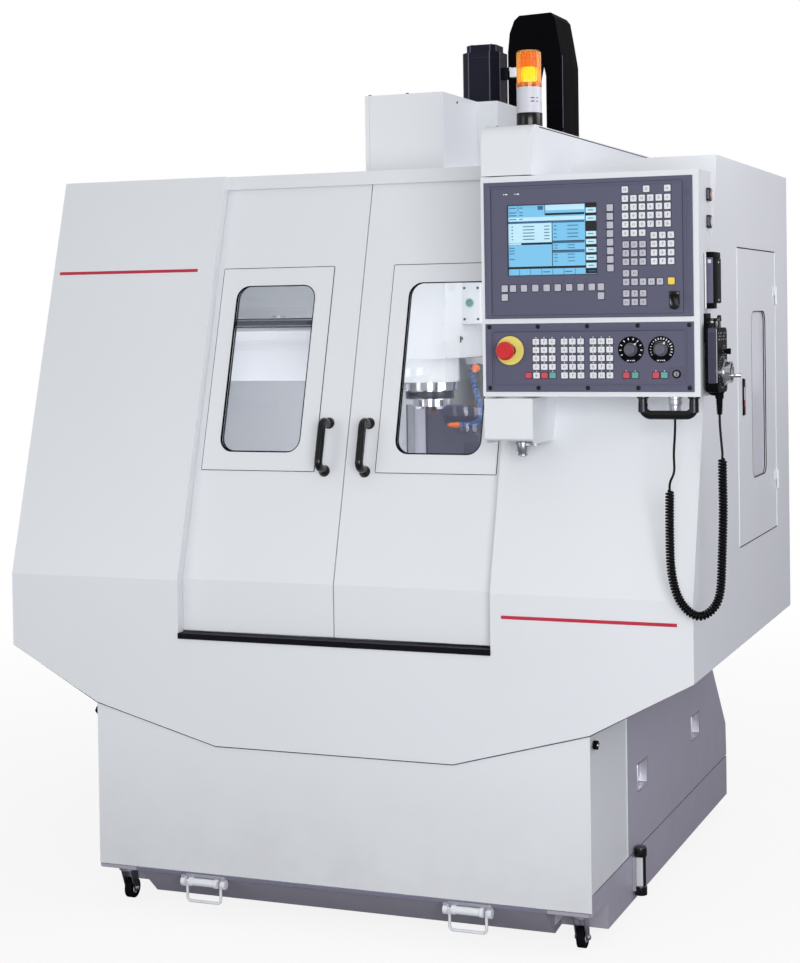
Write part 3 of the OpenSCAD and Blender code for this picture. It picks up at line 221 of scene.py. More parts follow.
def capScrew(centre, axis, radius, height, segments=18):
    # domed head with a recessed socket in its top
    shape = np.array([(0.0, 0.0), (1, 0.0), (1, 0.45), (0.86, 0.85), (0.62, 1), (0.42, 1),
                      (0.38, 0.45), (0.0, 0.4)])
    return turned(shape * (radius, height), centre, axis, segments)


def around(centre, radius, degrees):
    # points on a circle at the given angles
    a = np.radians(degrees)
    return np.stack([centre[0] + radius * np.cos(a), centre[1] + radius * np.sin(a)], -1)


# materials


def feed(tree, value, socket):
    # another node's output, or a plain number, colour or vector, into a socket
    if isinstance(value, bpy.types.NodeSocket):
        tree.links.new(value, socket)
    elif value is not None:
        socket.default_value = value


def mathNode(tree, kind, a, b=None, c=None, clamp=False):
    node = tree.nodes.new("ShaderNodeMath")
    node.operation, node.use_clamp = kind, clamp
    for socket, value in zip(node.inputs, (a, b, c)):
        feed(tree, value, socket)
    return node.outputs[0]


def noiseNode(tree, vector, scale, detail=3.0, roughness=0.5):
    node = tree.nodes.new("ShaderNodeTexNoise")
    for label, value in (("Vector", vector), ("Scale", scale), ("Detail", detail),
                         ("Roughness", roughness)):
        feed(tree, value, node.inputs[label])
    return node.outputs["Fac"]


def mixColour(tree, factor, a, b, kind="MIX"):
    node = tree.nodes.new("ShaderNodeMix")
    node.data_type, node.blend_type = "RGBA", kind
    for index, value in ((0, factor), (6, a), (7, b)):
        feed(tree, value, node.inputs[index])
    return node.outputs[2]


def makeGroup(name, inputs, outputs, build):
    # shader node group with named sockets; an input without a value is a vector
    tree = bpy.data.node_groups.new(name, "ShaderNodeTree")
    for label, value in inputs:
        kind = "NodeSocketVector" if value is None else "NodeSocketFloat"
        feed(tree, value, tree.interface.new_socket(name=label, in_out="INPUT",
                                                    socket_type=kind))
    for label in outputs:
        tree.interface.new_socket(name=label, in_out="OUTPUT", socket_type="NodeSocketFloat")
    build(tree, tree.nodes.new("NodeGroupInput").outputs,
          tree.nodes.new("NodeGroupOutput").inputs)
    return tree


def buildPaintSkin(tree, given, out):
    # height: fine orange peel; tone: broad mottling less a faint dust towards the floor;
    # gloss: slow patches
    where = given["Position"]
    patch = noiseNode(tree, where, 9.0, 4.0, 0.6)
    split = tree.nodes.new("ShaderNodeSeparateXYZ")
    feed(tree, where, split.inputs[0])
    low = mathNode(tree, "SUBTRACT", 1.0, mathNode(tree, "DIVIDE", split.outputs["Z"], 0.45),
                   clamp=True)
    dust = mathNode(tree, "MULTIPLY", mathNode(tree, "MULTIPLY", low, patch), given["Dust"])
    tone = mathNode(tree, "MULTIPLY_ADD", noiseNode(tree, where, 2.3), 0.05, 0.975)
    feed(tree, noiseNode(tree, where, given["Peel scale"], 2.0), out["Height"])
    feed(tree, mathNode(tree, "SUBTRACT", tone, mathNode(tree, "MULTIPLY", dust, 0.5)),
         out["Tone"])
    feed(tree, mathNode(tree, "MULTIPLY_ADD", patch, 0.16, -0.08), out["Rough shift"])
    feed(tree, dust, out["Dust mask"])


def buildGrain(tree, given, out):
    # moulded grain: small cells of noise for height, with a slow tone change
    slow = noiseNode(tree, given["Position"], 14.0)
    feed(tree, noiseNode(tree, given["Position"], given["Grain scale"], 3.0, 0.6),
         out["Height"])
    feed(tree, mathNode(tree, "MULTIPLY_ADD", slow, 0.3, 0.85), out["Tone"])
    feed(tree, mathNode(tree, "MULTIPLY_ADD", slow, 0.2, -0.1), out["Rough shift"])


def buildBrush(tree, given, out):
    # brushed or ground metal: noise stretched along one axis for fine lines, plus slow stains
    squeeze = tree.nodes.new("ShaderNodeVectorMath")
    squeeze.operation = "MULTIPLY"
    feed(tree, given["Position"], squeeze.inputs[0])
    feed(tree, given["Stretch"], squeeze.inputs[1])
    lines = noiseNode(tree, squeeze.outputs[0], 1.0, 4.0, 0.7)
    stain = noiseNode(tree, given["Position"], 11.0, 4.0, 0.65)
    feed(tree, lines, out["Height"])
    feed(tree, mathNode(tree, "MULTIPLY_ADD", stain, 0.25, 0.87), out["Tone"])
    feed(tree, mathNode(tree, "MULTIPLY_ADD", lines, 0.25, -0.12), out["Rough shift"])


common = ["Height", "Tone", "Rough shift"]
paintSkin = makeGroup("paint skin", [("Position", None), ("Peel scale", 420.0), ("Dust", 0.3)],
                      common + ["Dust mask"], buildPaintSkin)
mouldGrain = makeGroup("moulded grain", [("Position", None), ("Grain scale", 900.0)], common,
                       buildGrain)
brushLines = makeGroup("brushed lines", [("Position", None), ("Stretch", None)], common,
                       buildBrush)


def rgba(value):
    # display colour from 0 to 255 as a linear colour
    c = np.asarray(value, float) / 255.0
    linear = np.where(c <= 0.04045, c / 12.92, ((c + 0.055) / 1.055) ** 2.4)
    return tuple(linear.tolist()) + (1.0,)


def newMaterial(name):
    material = bpy.data.materials.new(name)
    material.use_nodes = True
    return material, material.node_tree, material.node_tree.nodes["Principled BSDF"].inputs


def placeGroup(tree, group, values):
    node = tree.nodes.new("ShaderNodeGroup")
    node.node_tree = group
    feed(tree, tree.nodes.new("ShaderNodeTexCoord").outputs["Object"], node.inputs["Position"])
    for label, value in values.items():
        node.inputs[label].default_value = value
    return node.outputs


def toned(tree, made, colour, amount=1.0):
    # colour times the group's tone
    tone = tree.nodes.new("ShaderNodeCombineColor")
    for channel in tone.inputs:
        feed(tree, made["Tone"], channel)
    return mixColour(tree, amount, rgba(colour), tone.outputs[0], "MULTIPLY")


def surface(name, colour, rough, group, values, bump, distance=0.0003, metallic=0.0, coat=0.0,
            specular=0.5):
    # toned colour, dust over paint, roughness plus its shift, and the group's height as bump
    material, tree, shader = newMaterial(name)
    made = placeGroup(tree, group, values)
    base = toned(tree, made, colour)
    if group is paintSkin:
        base = mixColour(tree, made["Dust mask"], base, rgba((150, 146, 150)))
    feed(tree, base, shader["Base Color"])
    feed(tree, mathNode(tree, "ADD", made["Rough shift"], rough, clamp=True),
         shader["Roughness"])
    node = tree.nodes.new("ShaderNodeBump")
    for label, value in (("Strength", bump), ("Distance", distance), ("Height", made["Height"])):
        feed(tree, value, node.inputs[label])
    feed(tree, node.outputs[0], shader["Normal"])
    for label, value in (("Metallic", metallic), ("Specular IOR Level", specular),
                         ("Coat Weight", coat), ("Coat Roughness", 0.15)):
        shader[label].default_value = value
    return material


def paint(name, colour, rough=0.36, dust=0.25, peel=420.0, bump=0.10, specular=0.5):
    # toned colour under orange peel, dustier towards the floor
    return surface(name, colour, rough, paintSkin, {"Peel scale": peel, "Dust": dust}, bump,
                   0.0004, specular=specular)


def plastic(name, colour, rough=0.45, grain=900.0, bump=0.25, coat=0.0, specular=0.4):
    # toned colour under a moulded grain
    return surface(name, colour, rough, mouldGrain, {"Grain scale": grain}, bump, coat=coat,
                   specular=specular)


def metal(name, colour, rough=0.28, stretch=(40.0, 40.0, 900.0), bump=0.15):
    # toned metal under lines stretched along one axis
    return surface(name, colour, rough, brushLines, {"Stretch": stretch}, bump, metallic=1.0)


def clear(name, colour, rough, weight=1.0, alpha=1.0):
    # pane or lens: faintly uneven tint and gloss; a low alpha lets the lamps' light through
    material, tree, shader = newMaterial(name)
    made = placeGroup(tree, mouldGrain, {"Grain scale": 300.0})
    feed(tree, toned(tree, made, colour, 0.2), shader["Base Color"])
    feed(tree, mathNode(tree, "MULTIPLY_ADD", made["Rough shift"], 0.15, rough, clamp=True),
         shader["Roughness"])
    for label, value in (("Alpha", alpha), ("Transmission Weight", weight), ("IOR", 1.45)):
        shader[label].default_value = value
    return material


def glow(name, colour, strength):
    # lit picture or bulb: faintly toned colour that also shines at the given strength
    material, tree, shader = newMaterial(name)
    base = toned(tree, placeGroup(tree, mouldGrain, {"Grain scale": 300.0}), colour, 0.15)
    for label, value in (("Base Color", base), ("Emission Color", base),
                         ("Emission Strength", strength), ("Roughness", 0.3)):
        feed(tree, value, shader[label])
    return material


looks = {
    "white": paint("white enamel", (226, 229, 233)),
    "inside": paint("chamber enamel", (196, 194, 212), 0.42),
    # the base's paint is the white enamel made darker: painted shade under the enclosure's
    # overhang
    "base": paint("base enamel darkened for painted shade", (172, 170, 184), 0.38, 0.35),
    "magazine": paint("cover enamel", (222, 225, 230), 0.34),
    "slate": paint("slate panel enamel", (90, 90, 112), 0.5, 0.0, 1400.0, 0.35, specular=0.3),
    "splash": paint("splash enamel", (78, 78, 96), 0.62, 0.1, specular=0.15),
    "castGrey": paint("casting paint", (138, 143, 150), 0.5, 0.4, 160.0, 0.5),
    "blackMetal": paint("black enamel", (38, 39, 52), 0.3, 0.1, specular=0.05),
    "railBlack": paint("black rail enamel", (20, 20, 27), 0.4, 0.0, specular=0.05),
    "blackPlastic": plastic("black moulding", (14, 14, 18), 0.36, specular=0.02),
    "blackGloss": plastic("black gloss moulding", (11, 11, 14), 0.2, 300.0, 0.05,
                          specular=0.42),
    "rubber": plastic("black rubber", (15, 15, 18), 0.6, 1500.0, 0.4, specular=0.03),
    "cord": plastic("cord sheath", (10, 10, 13), 0.3, 1200.0, 0.1, specular=0.14),
    "greyPlastic": plastic("pale grey moulding", (205, 206, 214), 0.4),
    "red": plastic("red moulding", (206, 40, 44), 0.3, 500.0, 0.08, 0.3),
    "yellow": plastic("yellow moulding", (238, 210, 92), 0.4),
    "yellowPale": plastic("pale yellow film", (232, 214, 116), 0.5, specular=0.2),
    "blueHose": plastic("blue link plastic", (76, 104, 150), 0.34, 700.0, 0.12),
    "orange": plastic("orange fitting plastic", (236, 118, 44), 0.36, 700.0, 0.12),
    "green": plastic("green sight", (52, 138, 112), 0.25, 500.0, 0.05, 0.4),
    "stripe": plastic("crimson film", (190, 42, 70), 0.42, 300.0, 0.05),
    "chrome": metal("bright chrome", (214, 214, 220), 0.12, (30.0, 30.0, 200.0), 0.03),
    "steel": metal("brushed steel", (190, 190, 196), 0.3),
    "ground": metal("ground iron", (158, 160, 164), 0.34, (30.0, 700.0, 30.0), 0.2),
    "darkSteel": metal("blackened steel", (58, 58, 64), 0.32),
    "slateDeep": paint("slate shell", (70, 70, 88), 0.5, 0.0, 1400.0, 0.35, specular=0.2),
    "slateDark": paint("slate shadow line", (48, 48, 62), 0.6, 0.0),
    "knobSlate": plastic("slate knob plastic", (92, 92, 106), 0.4, 900.0, 0.15),
    "keyGrey": plastic("grey key cap", (188, 188, 200), 0.42, 1400.0, 0.1),
    "keyPale": plastic("pale key cap", (224, 226, 232), 0.42, 1400.0, 0.1),
    "keyRed": plastic("red key cap", (198, 78, 94), 0.4, 1400.0, 0.1),
    "keyGreen": plastic("green key cap", (104, 164, 158), 0.4, 1400.0, 0.1),
    "ink": plastic("dark ink", (30, 30, 36), 0.5, 900.0, 0.05),
    "whiteInk": plastic("white ink", (232, 232, 236), 0.5, 900.0, 0.05),
    "chainBlack": plastic("chain plastic", (11, 11, 14), 0.44, 1100.0, 0.2, specular=0.01),
    # pale plastic for painted highlights on the chain's edge and the motor's edges
    "chainEdge": plastic("painted edge highlight plastic", (96, 92, 112), 0.4, 1100.0, 0.1),
    "oxide": plastic("black oxide", (20, 20, 23), 0.34, 500.0, 0.08, specular=0.3),
    "lensPale": plastic("pale switch lens", (206, 210, 214), 0.25, 500.0, 0.05),
    "lensOrange": plastic("orange switch lens", (226, 126, 84), 0.25, 500.0, 0.05),
    "silver": metal("satin aluminium", (214, 214, 222), 0.4, (60.0, 60.0, 300.0), 0.08),
    "ledWhite": glow("white lamp", (240, 240, 244), 0.2),
    "screenBlue": glow("screen blue", (112, 178, 214), 0.3),
    "screenPale": glow("screen pale", (176, 212, 226), 0.3),
    "screenDark": glow("screen black", (24, 26, 34), 0.05),
    "screenDeep": glow("screen deep blue", (50, 100, 142), 0.1),
    "bulb": glow("lamp bulb", (255, 214, 40), 2.6),
    "pane": clear("clear pane", (244, 247, 250), 0.02, alpha=0.08),
    "paneSide": clear("flank pane", (232, 234, 242), 0.12, weight=0.08),
    # darker enamel that paints the shadow under the front cover's bottom edge
    "tankFace": paint("tank face enamel darkened for painted shade", (116, 116, 138), 0.5, 0.2, specular=0.2),
    "amber": clear("amber lens", (252, 172, 78), 0.06),
    # pale moulding that paints the highlights on the tower lens top
    "glint": plastic("painted highlights on lens top", (240, 214, 200), 0.2, 300.0, 0.05, 0.4),
}

wears = {
    "white": "front_shell side_panel_left side_panel_right roof_panel door_left door_right "
             "side_door head_casting head_cover pendant_arm pendant_bracket pendant_case "
             "control_cabinet cabinet_door base_front_cover column",
    "inside": "chip_trough",
    "magazine": "magazine_cover",
    "base": "base_rear_cover coolant_tank",
    "slate": "display_panel control_panel",
    "splash": "splash_panel",
    "castGrey": "machine_bed saddle",
    "ground": "table",
    "blackMetal": "z_motor",
    "railBlack": "door_rail",
    "blackPlastic": "rocker_upper rocker_lower side_latch handwheel_unit axis_selector",
    "knobSlate": "feed_knob speed_knob",
    "chainBlack": "cable_chain",
    "blackGloss": "handle_left handle_right pendant_handle",
    "rubber": "caster_wheel_left caster_wheel_right",
    "cord": "cord_lead_left cord_coil cord_lead_right",
    "greyPlastic": "tower_body",
    "red": "stop_button",
    "blueHose": "coolant_hoses",
    "chrome": "spindle handwheel cord_connector",
    "keyPale": "bail_left bail_right",
    "steel": "tool_carousel caster_fork_left caster_fork_right key_switch",
    "pane": "glass_left glass_right",
    "paneSide": "side_glass",
    "amber": "tower_lens",
}
for look, names in wears.items():
    for nodeName in names.split():
        if nodeName in nodes:
            held = nodes[nodeName].data.materials
            held.clear()
            held.append(looks[look])
print("materials:", len(looks))

# camera and cord

camera = {"place": (1.853, -4.189, 1.488), "yaw": 0.377, "pitch": 0.0218, "roll": -0.0147,
          "focal": 1907.5, "middleRow": 355.8, "height": 963}


def makeCamera(c):
    # forward is turned left by yaw and down by pitch; right and up then roll about it
    (sy, sp, sr), (cy, cp, cr) = [[f(c[k]) for k in ("yaw", "pitch", "roll")]
                                  for f in (math.sin, math.cos)]
    forward = np.array([-sy * cp, cy * cp, -sp])
    level = np.array([cy, sy, 0.0])
    upright = np.cross(level, forward)
    data = bpy.data.cameras.new("camera")
    data.sensor_width, data.lens = 36.0, c["focal"] * 36.0 / c["height"]
    data.shift_y = (c["middleRow"] - c["height"] / 2) / c["height"]
    data.clip_start, data.clip_end = 0.05, 100.0
    piece = bpy.data.objects.new("camera", data)
    scene.collection.objects.link(piece)
    turn = np.eye(4)
    turn[:3] = np.stack([cr * level + sr * upright, cr * upright - sr * level, -forward,
                         np.array(c["place"]) - seat], -1)
    piece.matrix_world = Matrix(turn.tolist())
    scene.camera = piece


makeCamera(camera)

cord = {"thickness": 0.0056, "coilRadius": 0.0076, "pitch": 0.0068, "turnPoints": 14,
        "sides": 8,
        "leadLeft": [(856, -8, 1250), (856, -12, 1215), (856, -24, 1170), (858, -32, 1130),
                     (850, -34, 1108), (848, -34, 1098), (848, -34, 1090)],
        "coil": [(848, -34, 1089.5), (847, -34, 1000), (849, -34, 915), (861, -34, 858),
                 (883, -33, 823), (912, -30, 809), (940, -24, 826), (955, -18, 862),
                 (959, -12, 940), (961, -5, 1040), (960, -2, 1120), (960, -2, 1160)],
        "leadRight": [(960, -2, 1160.5), (960, -2, 1172), (958, -2, 1196), (955.5, -2, 1230),
                      (955, -2, 1256)]}


def smoothRoute(points, steps):
    # the curve through every point whose slope at a point is half the span of its neighbours
    p = np.asarray(points, float)
    padded = np.vstack([p[:1], p, p[-1:]])
    u = (np.arange(steps) / steps)[None, :, None]
    a, b, c, d = (q[:, None] for q in (padded[:-3], padded[1:-2], padded[2:-1], padded[3:]))
    curve = 0.5 * (2 * b + (c - a) * u + (2 * a - 5 * b + 4 * c - d) * u ** 2
                   + (3 * b - a - 3 * c + d) * u ** 3)
    return np.vstack([curve.reshape(-1, 3), p[-1:]])


def evenSteps(path, count):
    # the same path with its points at equal distances
    gone = np.r_[0, np.cumsum(np.linalg.norm(np.diff(path, axis=0), axis=1))]
    want = np.linspace(0, gone[-1], count)
    return np.stack([np.interp(want, gone, path[:, k]) for k in range(3)], -1), gone[-1]


def cordPath(c):
    # straight leads, and between them a helix whose radius opens from zero at both ends
    first, core, last = [smoothRoute(c[key], steps) / 1000 for key, steps in
                         (("leadLeft", 6), ("coil", 16), ("leadRight", 6))]
    turns = evenSteps(core, 2)[1] / c["pitch"]
    count = int(turns * c["turnPoints"])
    core = evenSteps(core, count)[0]
    a, b = acrossPath(core)
    s = np.linspace(0, 1, count)
    opening = np.clip(np.minimum(s, 1 - s) * turns / 1.2, 0, 1)
    opening = opening * opening * (3 - 2 * opening)
    angle = (2 * np.pi * turns * s)[:, None]
    helix = core + (c["coilRadius"] * opening)[:, None] * (a * np.cos(angle)
                                                          + b * np.sin(angle))
    return np.vstack([first[:-1], helix, last[1:]])


cordLine = cordPath(cord)
pulseCord = makeObject("pulse_cord", *tubeAlong(cordLine, cord["thickness"] / 2, cord["sides"]),
                       looks["cord"], "pendant", "black_rubber")
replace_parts(pulseCord, "cord_lead_left", "cord_coil", "cord_lead_right")

# helpers that know the machine

shell = {"bend": 835.0, "lean": 0.29412, "faceY": -62.0}
slots = {
    "paint_white": "white stripe", "paint_base": "base tankFace",
    "panel_slate": "slate slateDeep slateDark", "black_rubber": "rubber",
    "black_plastic": "blackGloss blackPlastic knobSlate chainBlack chainEdge ink",
    "pale_plastic": "greyPlastic ledWhite yellowPale whiteInk keyPale keyGrey yellow keyGreen",
    "black_metal": "oxide darkSteel blackMetal", "steel": "steel silver", "chrome": "chrome",
    "clear_pane": "screenBlue screenDark screenPale screenDeep green lensPale",
    "amber_lens": "amber bulb glint lensOrange", "red_plastic": "red orange keyRed",
    "blue_plastic": "blueHose"}
slotOf = {look: slot for slot, names in slots.items() for look in names.split()}


def addPiece(name, parts, look, body="pendant", slot=None, sharp=40):
    # closed parts in millimetres as one piece riding on a body
    points, faces = joinParts(parts if isinstance(parts, list) else [parts])
    piece = makeObject(name, points * 0.001, faces, looks[look], body, slot or slotOf[look])
    finishMesh(piece, sharp)
    return piece


def onFront(x, z, depth):
    # a point of the leaning front: its surface runs straight up to the bend and then back
    return np.stack([x, depth + np.maximum(0.0, (z - shell["bend"]) * shell["lean"]), z], -1)


def onPanel(x, z, depth):
    # a point on the pendant's face, depth counted inwards
    return np.stack([x, shell["faceY"] + depth, z], -1)


def onSide(y, z, depth):
    # a point on the right flank, depth counted inwards
    return np.stack([890.0 - depth, y, z], -1)


def facing(profile, x, z, segments):
    # a turned part standing out of the pendant's face
    return turned(profile, (x, shell["faceY"], z), front, segments)


# doors and front

doorTrim = {"handleX": 54.0, "handleZ": (1104.0, 1220.0), "frames": [
    ("gasket", (238.5, 1357.0), (221.0, 418.0), 34.0, 7,
     [(0.6, 28.6), (0.5, 28.1), (-0.4, 27.8), (-1.7, 28.0), (-2.2, 28.8), (-2.3, 33.9),
      (-0.1, 33.9), (-0.1, 28.6)]),
    ("gasket_back", (238.5, 1357.0), (221.0, 418.0), 34.0, 7,
     [(-0.1, 40.2), (-1.6, 40.2), (-1.5, 45.6), (-0.1, 45.6)]),
    # the dark line round the raised plate is painted shadow
    ("bead", (237.5, 1357.0), (310.0, 508.0), 1.0, 3,
     [(1.6, 30.2), (1.6, 29.0), (1.0, 28.6), (0.2, 28.7), (-0.2, 30.2)])]}


def makeDoorTrim(d, side, sign):
    # rubber round the pane, a dark rubber line round the raised plate that paints the shadow of
    # its edge, and the feet of the handle
    for part, centre, size, radius, steps, profile in d["frames"]:
        addPiece("door_%s_%s" % (part, side),
                 sweptFrame(centre, size, radius, profile,
                            lambda u, v, depth: onFront(sign * u, v, depth), steps),
                 "rubber", side + "_door")
    foot = [(0, 0), (14.5, 0), (14.5, 2.5), (12.5, 5.0), (10.4, 9.0), (9.0, 9.0), (0, 9.0)]
    addPiece("handle_feet_" + side, [turned(foot, onFront(sign * d["handleX"], z, 30.0),
                                            (0.0, -1.0, shell["lean"]), 32)
                                     for z in d["handleZ"]], "blackGloss", side + "_door")


makeDoorTrim(doorTrim, "left", -1.0)
makeDoorTrim(doorTrim, "right", 1.0)

stripes = {"left": (-871.0, -457.0, 1605.5, 1613.5), "right": (437.0, 853.0, 777.0, 785.0)}
for side, (x0, x1, z0, z1) in stripes.items():
    addPiece("stripe_" + side, plateOn(((x0 + x1) / 2, (z0 + z1) / 2), (x1 - x0, z1 - z0), 0.8,
                                       onFront, -0.45, -0.02, 3), "stripe", "frame")

# the side opening's wall in three bands from the pane outwards: rubber, enamel, rubber lip
sideTrim = {"centre": (788.0, 1267.5), "size": (188.0, 431.0), "radius": 30.0, "bands": [
    ("side_gasket_inner", "rubber", [(-1.4, 3.6), (-1.5, 5.9), (-0.1, 5.9), (-0.1, 3.6)]),
    ("side_window_rim", "white", [(-1.1, 2.0), (-1.2, 3.6), (-0.1, 3.6), (-0.1, 2.0)]),
    ("side_gasket", "rubber", [(0.3, 0.3), (0.2, -0.3), (-0.9, -0.4), (-1.4, 0.1),
                               (-1.4, 2.0), (-0.1, 2.0), (-0.1, 0.3)])]}
for name, look, profile in sideTrim["bands"]:
    addPiece(name, sweptFrame(sideTrim["centre"], sideTrim["size"], sideTrim["radius"], profile,
                              onSide), look, "chamber_side_door")
addPiece("side_door_bead", [boxPart(889.6, 890.8, 522.5, 1018.5, z, z + 1.9, 0.3)
                            for z in (894.2, 1640.2)], "rubber", "frame")
addPiece("side_door_rims", [boxPart(889.6, 891.8, y, y + 3.2, 896.0, 1640.0, 0.7)
                            for y in (516.5, 1020.5)], "white", "frame")
addPiece("latch_mark", plateOn((584.0, 1251.0), (9.0, 14.0), 2.0, onSide, -3.7, -3.0), "red",
         "latch")
addPiece("latch_insert", plateOn((584.0, 1276.0), (8.0, 33.0), 1.5, onSide, -3.7, -3.0),
         "greyPlastic", "latch")
print("doors and front")

# display panel

display = {"key": (14.6, 14.6), "step": 19.15, "softX": 726.5, "softTop": 1718.0,
           "softRowZ": 1542.5, "screen": (486.0, 695.5, 1571.0, 1731.0), "screenDepth": 3.9,
           "port": (870.5, 1510.0)}


def keyGrid(x, z, across, down):
    # key centres in rows from the top left
    step = display["step"]
    return [(x + i * step, z - j * step) for j in range(down) for i in range(across)]


def keyField(name, places, size, look):
    # soft-edged pads in a row of places, each over a thin dark plate a little wider than the
    # pad, which paints the shadow round it
    origins = [onPanel(x, z, 0.0) for x, z in places]
    for label, colour, more, tall, radius, bevel in (("", look, 0.0, 2.2, 1.6, 0.7),
                                                     ("_shade_plates", "blackPlastic", 2.4, 0.5, 2.2,
                                                      0.2)):
        pad = padBlock(size[0] + more, size[1] + more, tall, radius, bevel)
        addPiece(name + label, stamped(pad, origins, right, up, front), colour, sharp=30)


def thin(x, z, wide, tall, radius, depth0, depth1, steps=2):
    # a small thin plate on the pendant's face
    return plateOn((x, z), (wide, tall), radius, onPanel, depth0, depth1, steps)


def marksOn(name, places, seed):
    # plain dashes on the pads: two or three short bars, laid by a seeded choice
    rng = np.random.default_rng(seed)
    kinds = [[(0, 1.6, 5.0, 0.9), (0, -1.6, 5.0, 0.9)],
             [(0, 0, 1.0, 6.0), (1.6, 2.4, 3.4, 0.9)],
             [(0, 0, 5.4, 1.0), (0, 2.4, 3.0, 0.9), (0, -2.4, 3.0, 0.9)],
             [(-1.8, 0, 0.9, 5.4), (1.8, 0, 0.9, 5.4)]]
    addPiece(name, [thin(x + bx, z + bz, w, h, 0.3, -2.32, -2.0) for x, z in places
                    for bx, bz, w, h in kinds[int(rng.integers(0, 4))]], "ink")


softColumn = keyGrid(display["softX"], display["softTop"], 1, 8)
softRow = [(x, display["softRowZ"]) for x in (478.0, 498.0, 524.0, 551.0, 577.5, 604.0, 630.5,
                                              657.0, 683.0, 704.0)]
softRow += [(x, display["softRowZ"] - 20.0) for x in (478.0, 704.0)]
letterKeys = [(x, 1757.0) for x in (761.5, 810.0, 857.5)] + keyGrid(761.5, 1737.0, 6, 4)
letterKeys += keyGrid(761.5, 1660.4, 3, 1)
numberKeys = keyGrid(826.0, 1654.0, 3, 4)
lowKeys = sum([keyGrid(762.0, *row) for row in ((1635.0, 3, 3), (1571.5, 2, 1), (1552.0, 5, 1),
                                                (1526.5, 3, 2))], [])
keyField("soft_keys", softColumn + softRow, (14.8, 15.4), "keyGrey")
keyField("letter_keys", letterKeys + numberKeys, display["key"], "keyPale")
keyField("edit_keys", lowKeys, display["key"], "keyGrey")
keyField("input_key", [(864.0, 1552.5)], (15.2, 15.6), "yellow")
marksOn("key_marks", letterKeys + lowKeys + numberKeys, 3)


def words(spans, tops, tall=0.012, layer=2):
    # short bars on the screen: the same spans across at each height
    return [(a, b, v, v + tall, layer) for v in tops for a, b in spans]


def makeScreen(x0, x1, z0, z1, depth):
    # the lit picture: panes and bars as thin tiles stacked a little apart in the recess
    wide, tall = x1 - x0, z1 - z0
    middle = ((x0 + x1) / 2, (z0 + z1) / 2)
    bars = [(0.0, 0.87, 0.872, 0.905), (0.425, 0.86, 0.125, 0.155), (0.0, 0.495, 0.535, 0.565),
            (0.868, 1.0, 0.0, 0.985), (0.0, 0.86, 0.232, 0.238), (0.496, 0.504, 0.235, 0.875),
            (0.505, 0.862, 0.515, 0.527), (0.505, 0.862, 0.648, 0.660),
            (0.418, 0.424, 0.0, 0.15), (0.115, 0.120, 0.0, 0.09), (0.0, 0.86, 0.0, 0.008)]
    bars += [(u, u + 0.004, 0.91, 1.0) for u in (0.125, 0.25, 0.375, 0.5, 0.625, 0.75)]
    panes = [(0.0, 0.86, 0.175, 0.228, 1), (0.0, 0.494, 0.262, 0.532, 1),
             (0.425, 0.86, 0.010, 0.085, 1), (0.0, 0.15, 0.538, 0.561, 2)]
    panes += words([(0.876, 0.992)], (0.065, 0.178, 0.395, 0.505, 0.618, 0.728, 0.838), 0.072)
    lines = [(0.0, 0.494, 0.238, 0.262, 2), (0.505, 0.86, 0.240, 0.264, 2),
             (0.505, 0.86, 0.528, 0.552, 2), (0.505, 0.86, 0.662, 0.686, 2),
             (0.34, 0.40, 0.02, 0.075, 2)]
    lines += words([(0.04, 0.06), (0.17, 0.30), (0.41, 0.47)], 0.30 + 0.045 * np.arange(5))
    lines += words([(0.52, 0.55), (0.67, 0.79)], (0.30, 0.355, 0.41, 0.46))
    lines += words([(0.52, 0.56), (0.67, 0.75)], (0.575, 0.615, 0.705, 0.75, 0.80), 0.010)
    lines += words([(0.015, 0.075)], (0.60, 0.64, 0.68, 0.76))
    lines += words([(0.015, 0.10), (0.13, 0.17)], (0.10, 0.14, 0.195, 0.035))
    lines += words([(u, u + 0.08) for u in (0.39, 0.64, 0.9)], (0.945,), 0.013)
    lines += words([(0.90, 0.96)], (0.095, 0.208, 0.425, 0.535, 0.648, 0.758, 0.868), layer=3)
    for name, look, tiles in (("screen_ground", "screenBlue", [(0.0, 1.0, 0.0, 1.0, 0)]),
                              ("screen_bars", "screenDark", [(*tile, 1) for tile in bars]),
                              ("screen_panes", "screenPale", panes),
                              ("screen_lines", "screenDeep", lines)):
        addPiece(name, [thin(x0 + (a + b) / 2 * wide, z1 - (c + d) / 2 * tall, (b - a) * wide,
                             (d - c) * tall, 0.15, depth - 0.12 * layer - 0.1,
                             depth - 0.12 * layer + 0.3) for a, b, c, d, layer in tiles], look)
    addPiece("screen_rim", sweptFrame(middle, (wide, tall), 1.0,
                                      [(0.9, 0.1), (0.9, -0.5), (-0.8, -0.5), (-1.2, 3.8),
                                       (-0.2, 3.8)], onPanel, 3), "slateDark")


makeScreen(*display["screen"], display["screenDepth"])


def raisedRim(x0, x1, z0, z1, width, height):
    # rim with a bevel on both edges, standing on the panel
    return sweptFrame(((x0 + x1) / 2, (z0 + z1) / 2), (x1 - x0, z1 - z0), 2.0,
                      [(0.0, 0.1), (-0.2, -height + 0.5), (-1.2, -height), (-width + 3, -height),
                       (-width, -0.1), (-width, 0.1)], onPanel, 4)


def groove(centre, size, radius, half, depth0, depth1):
    # thin line round a rounded rectangle on the panel
    return sweptFrame(centre, size, radius, [(half, depth0), (half, depth1), (-half, depth1),
                                             (-half, depth0)], onPanel, 3)


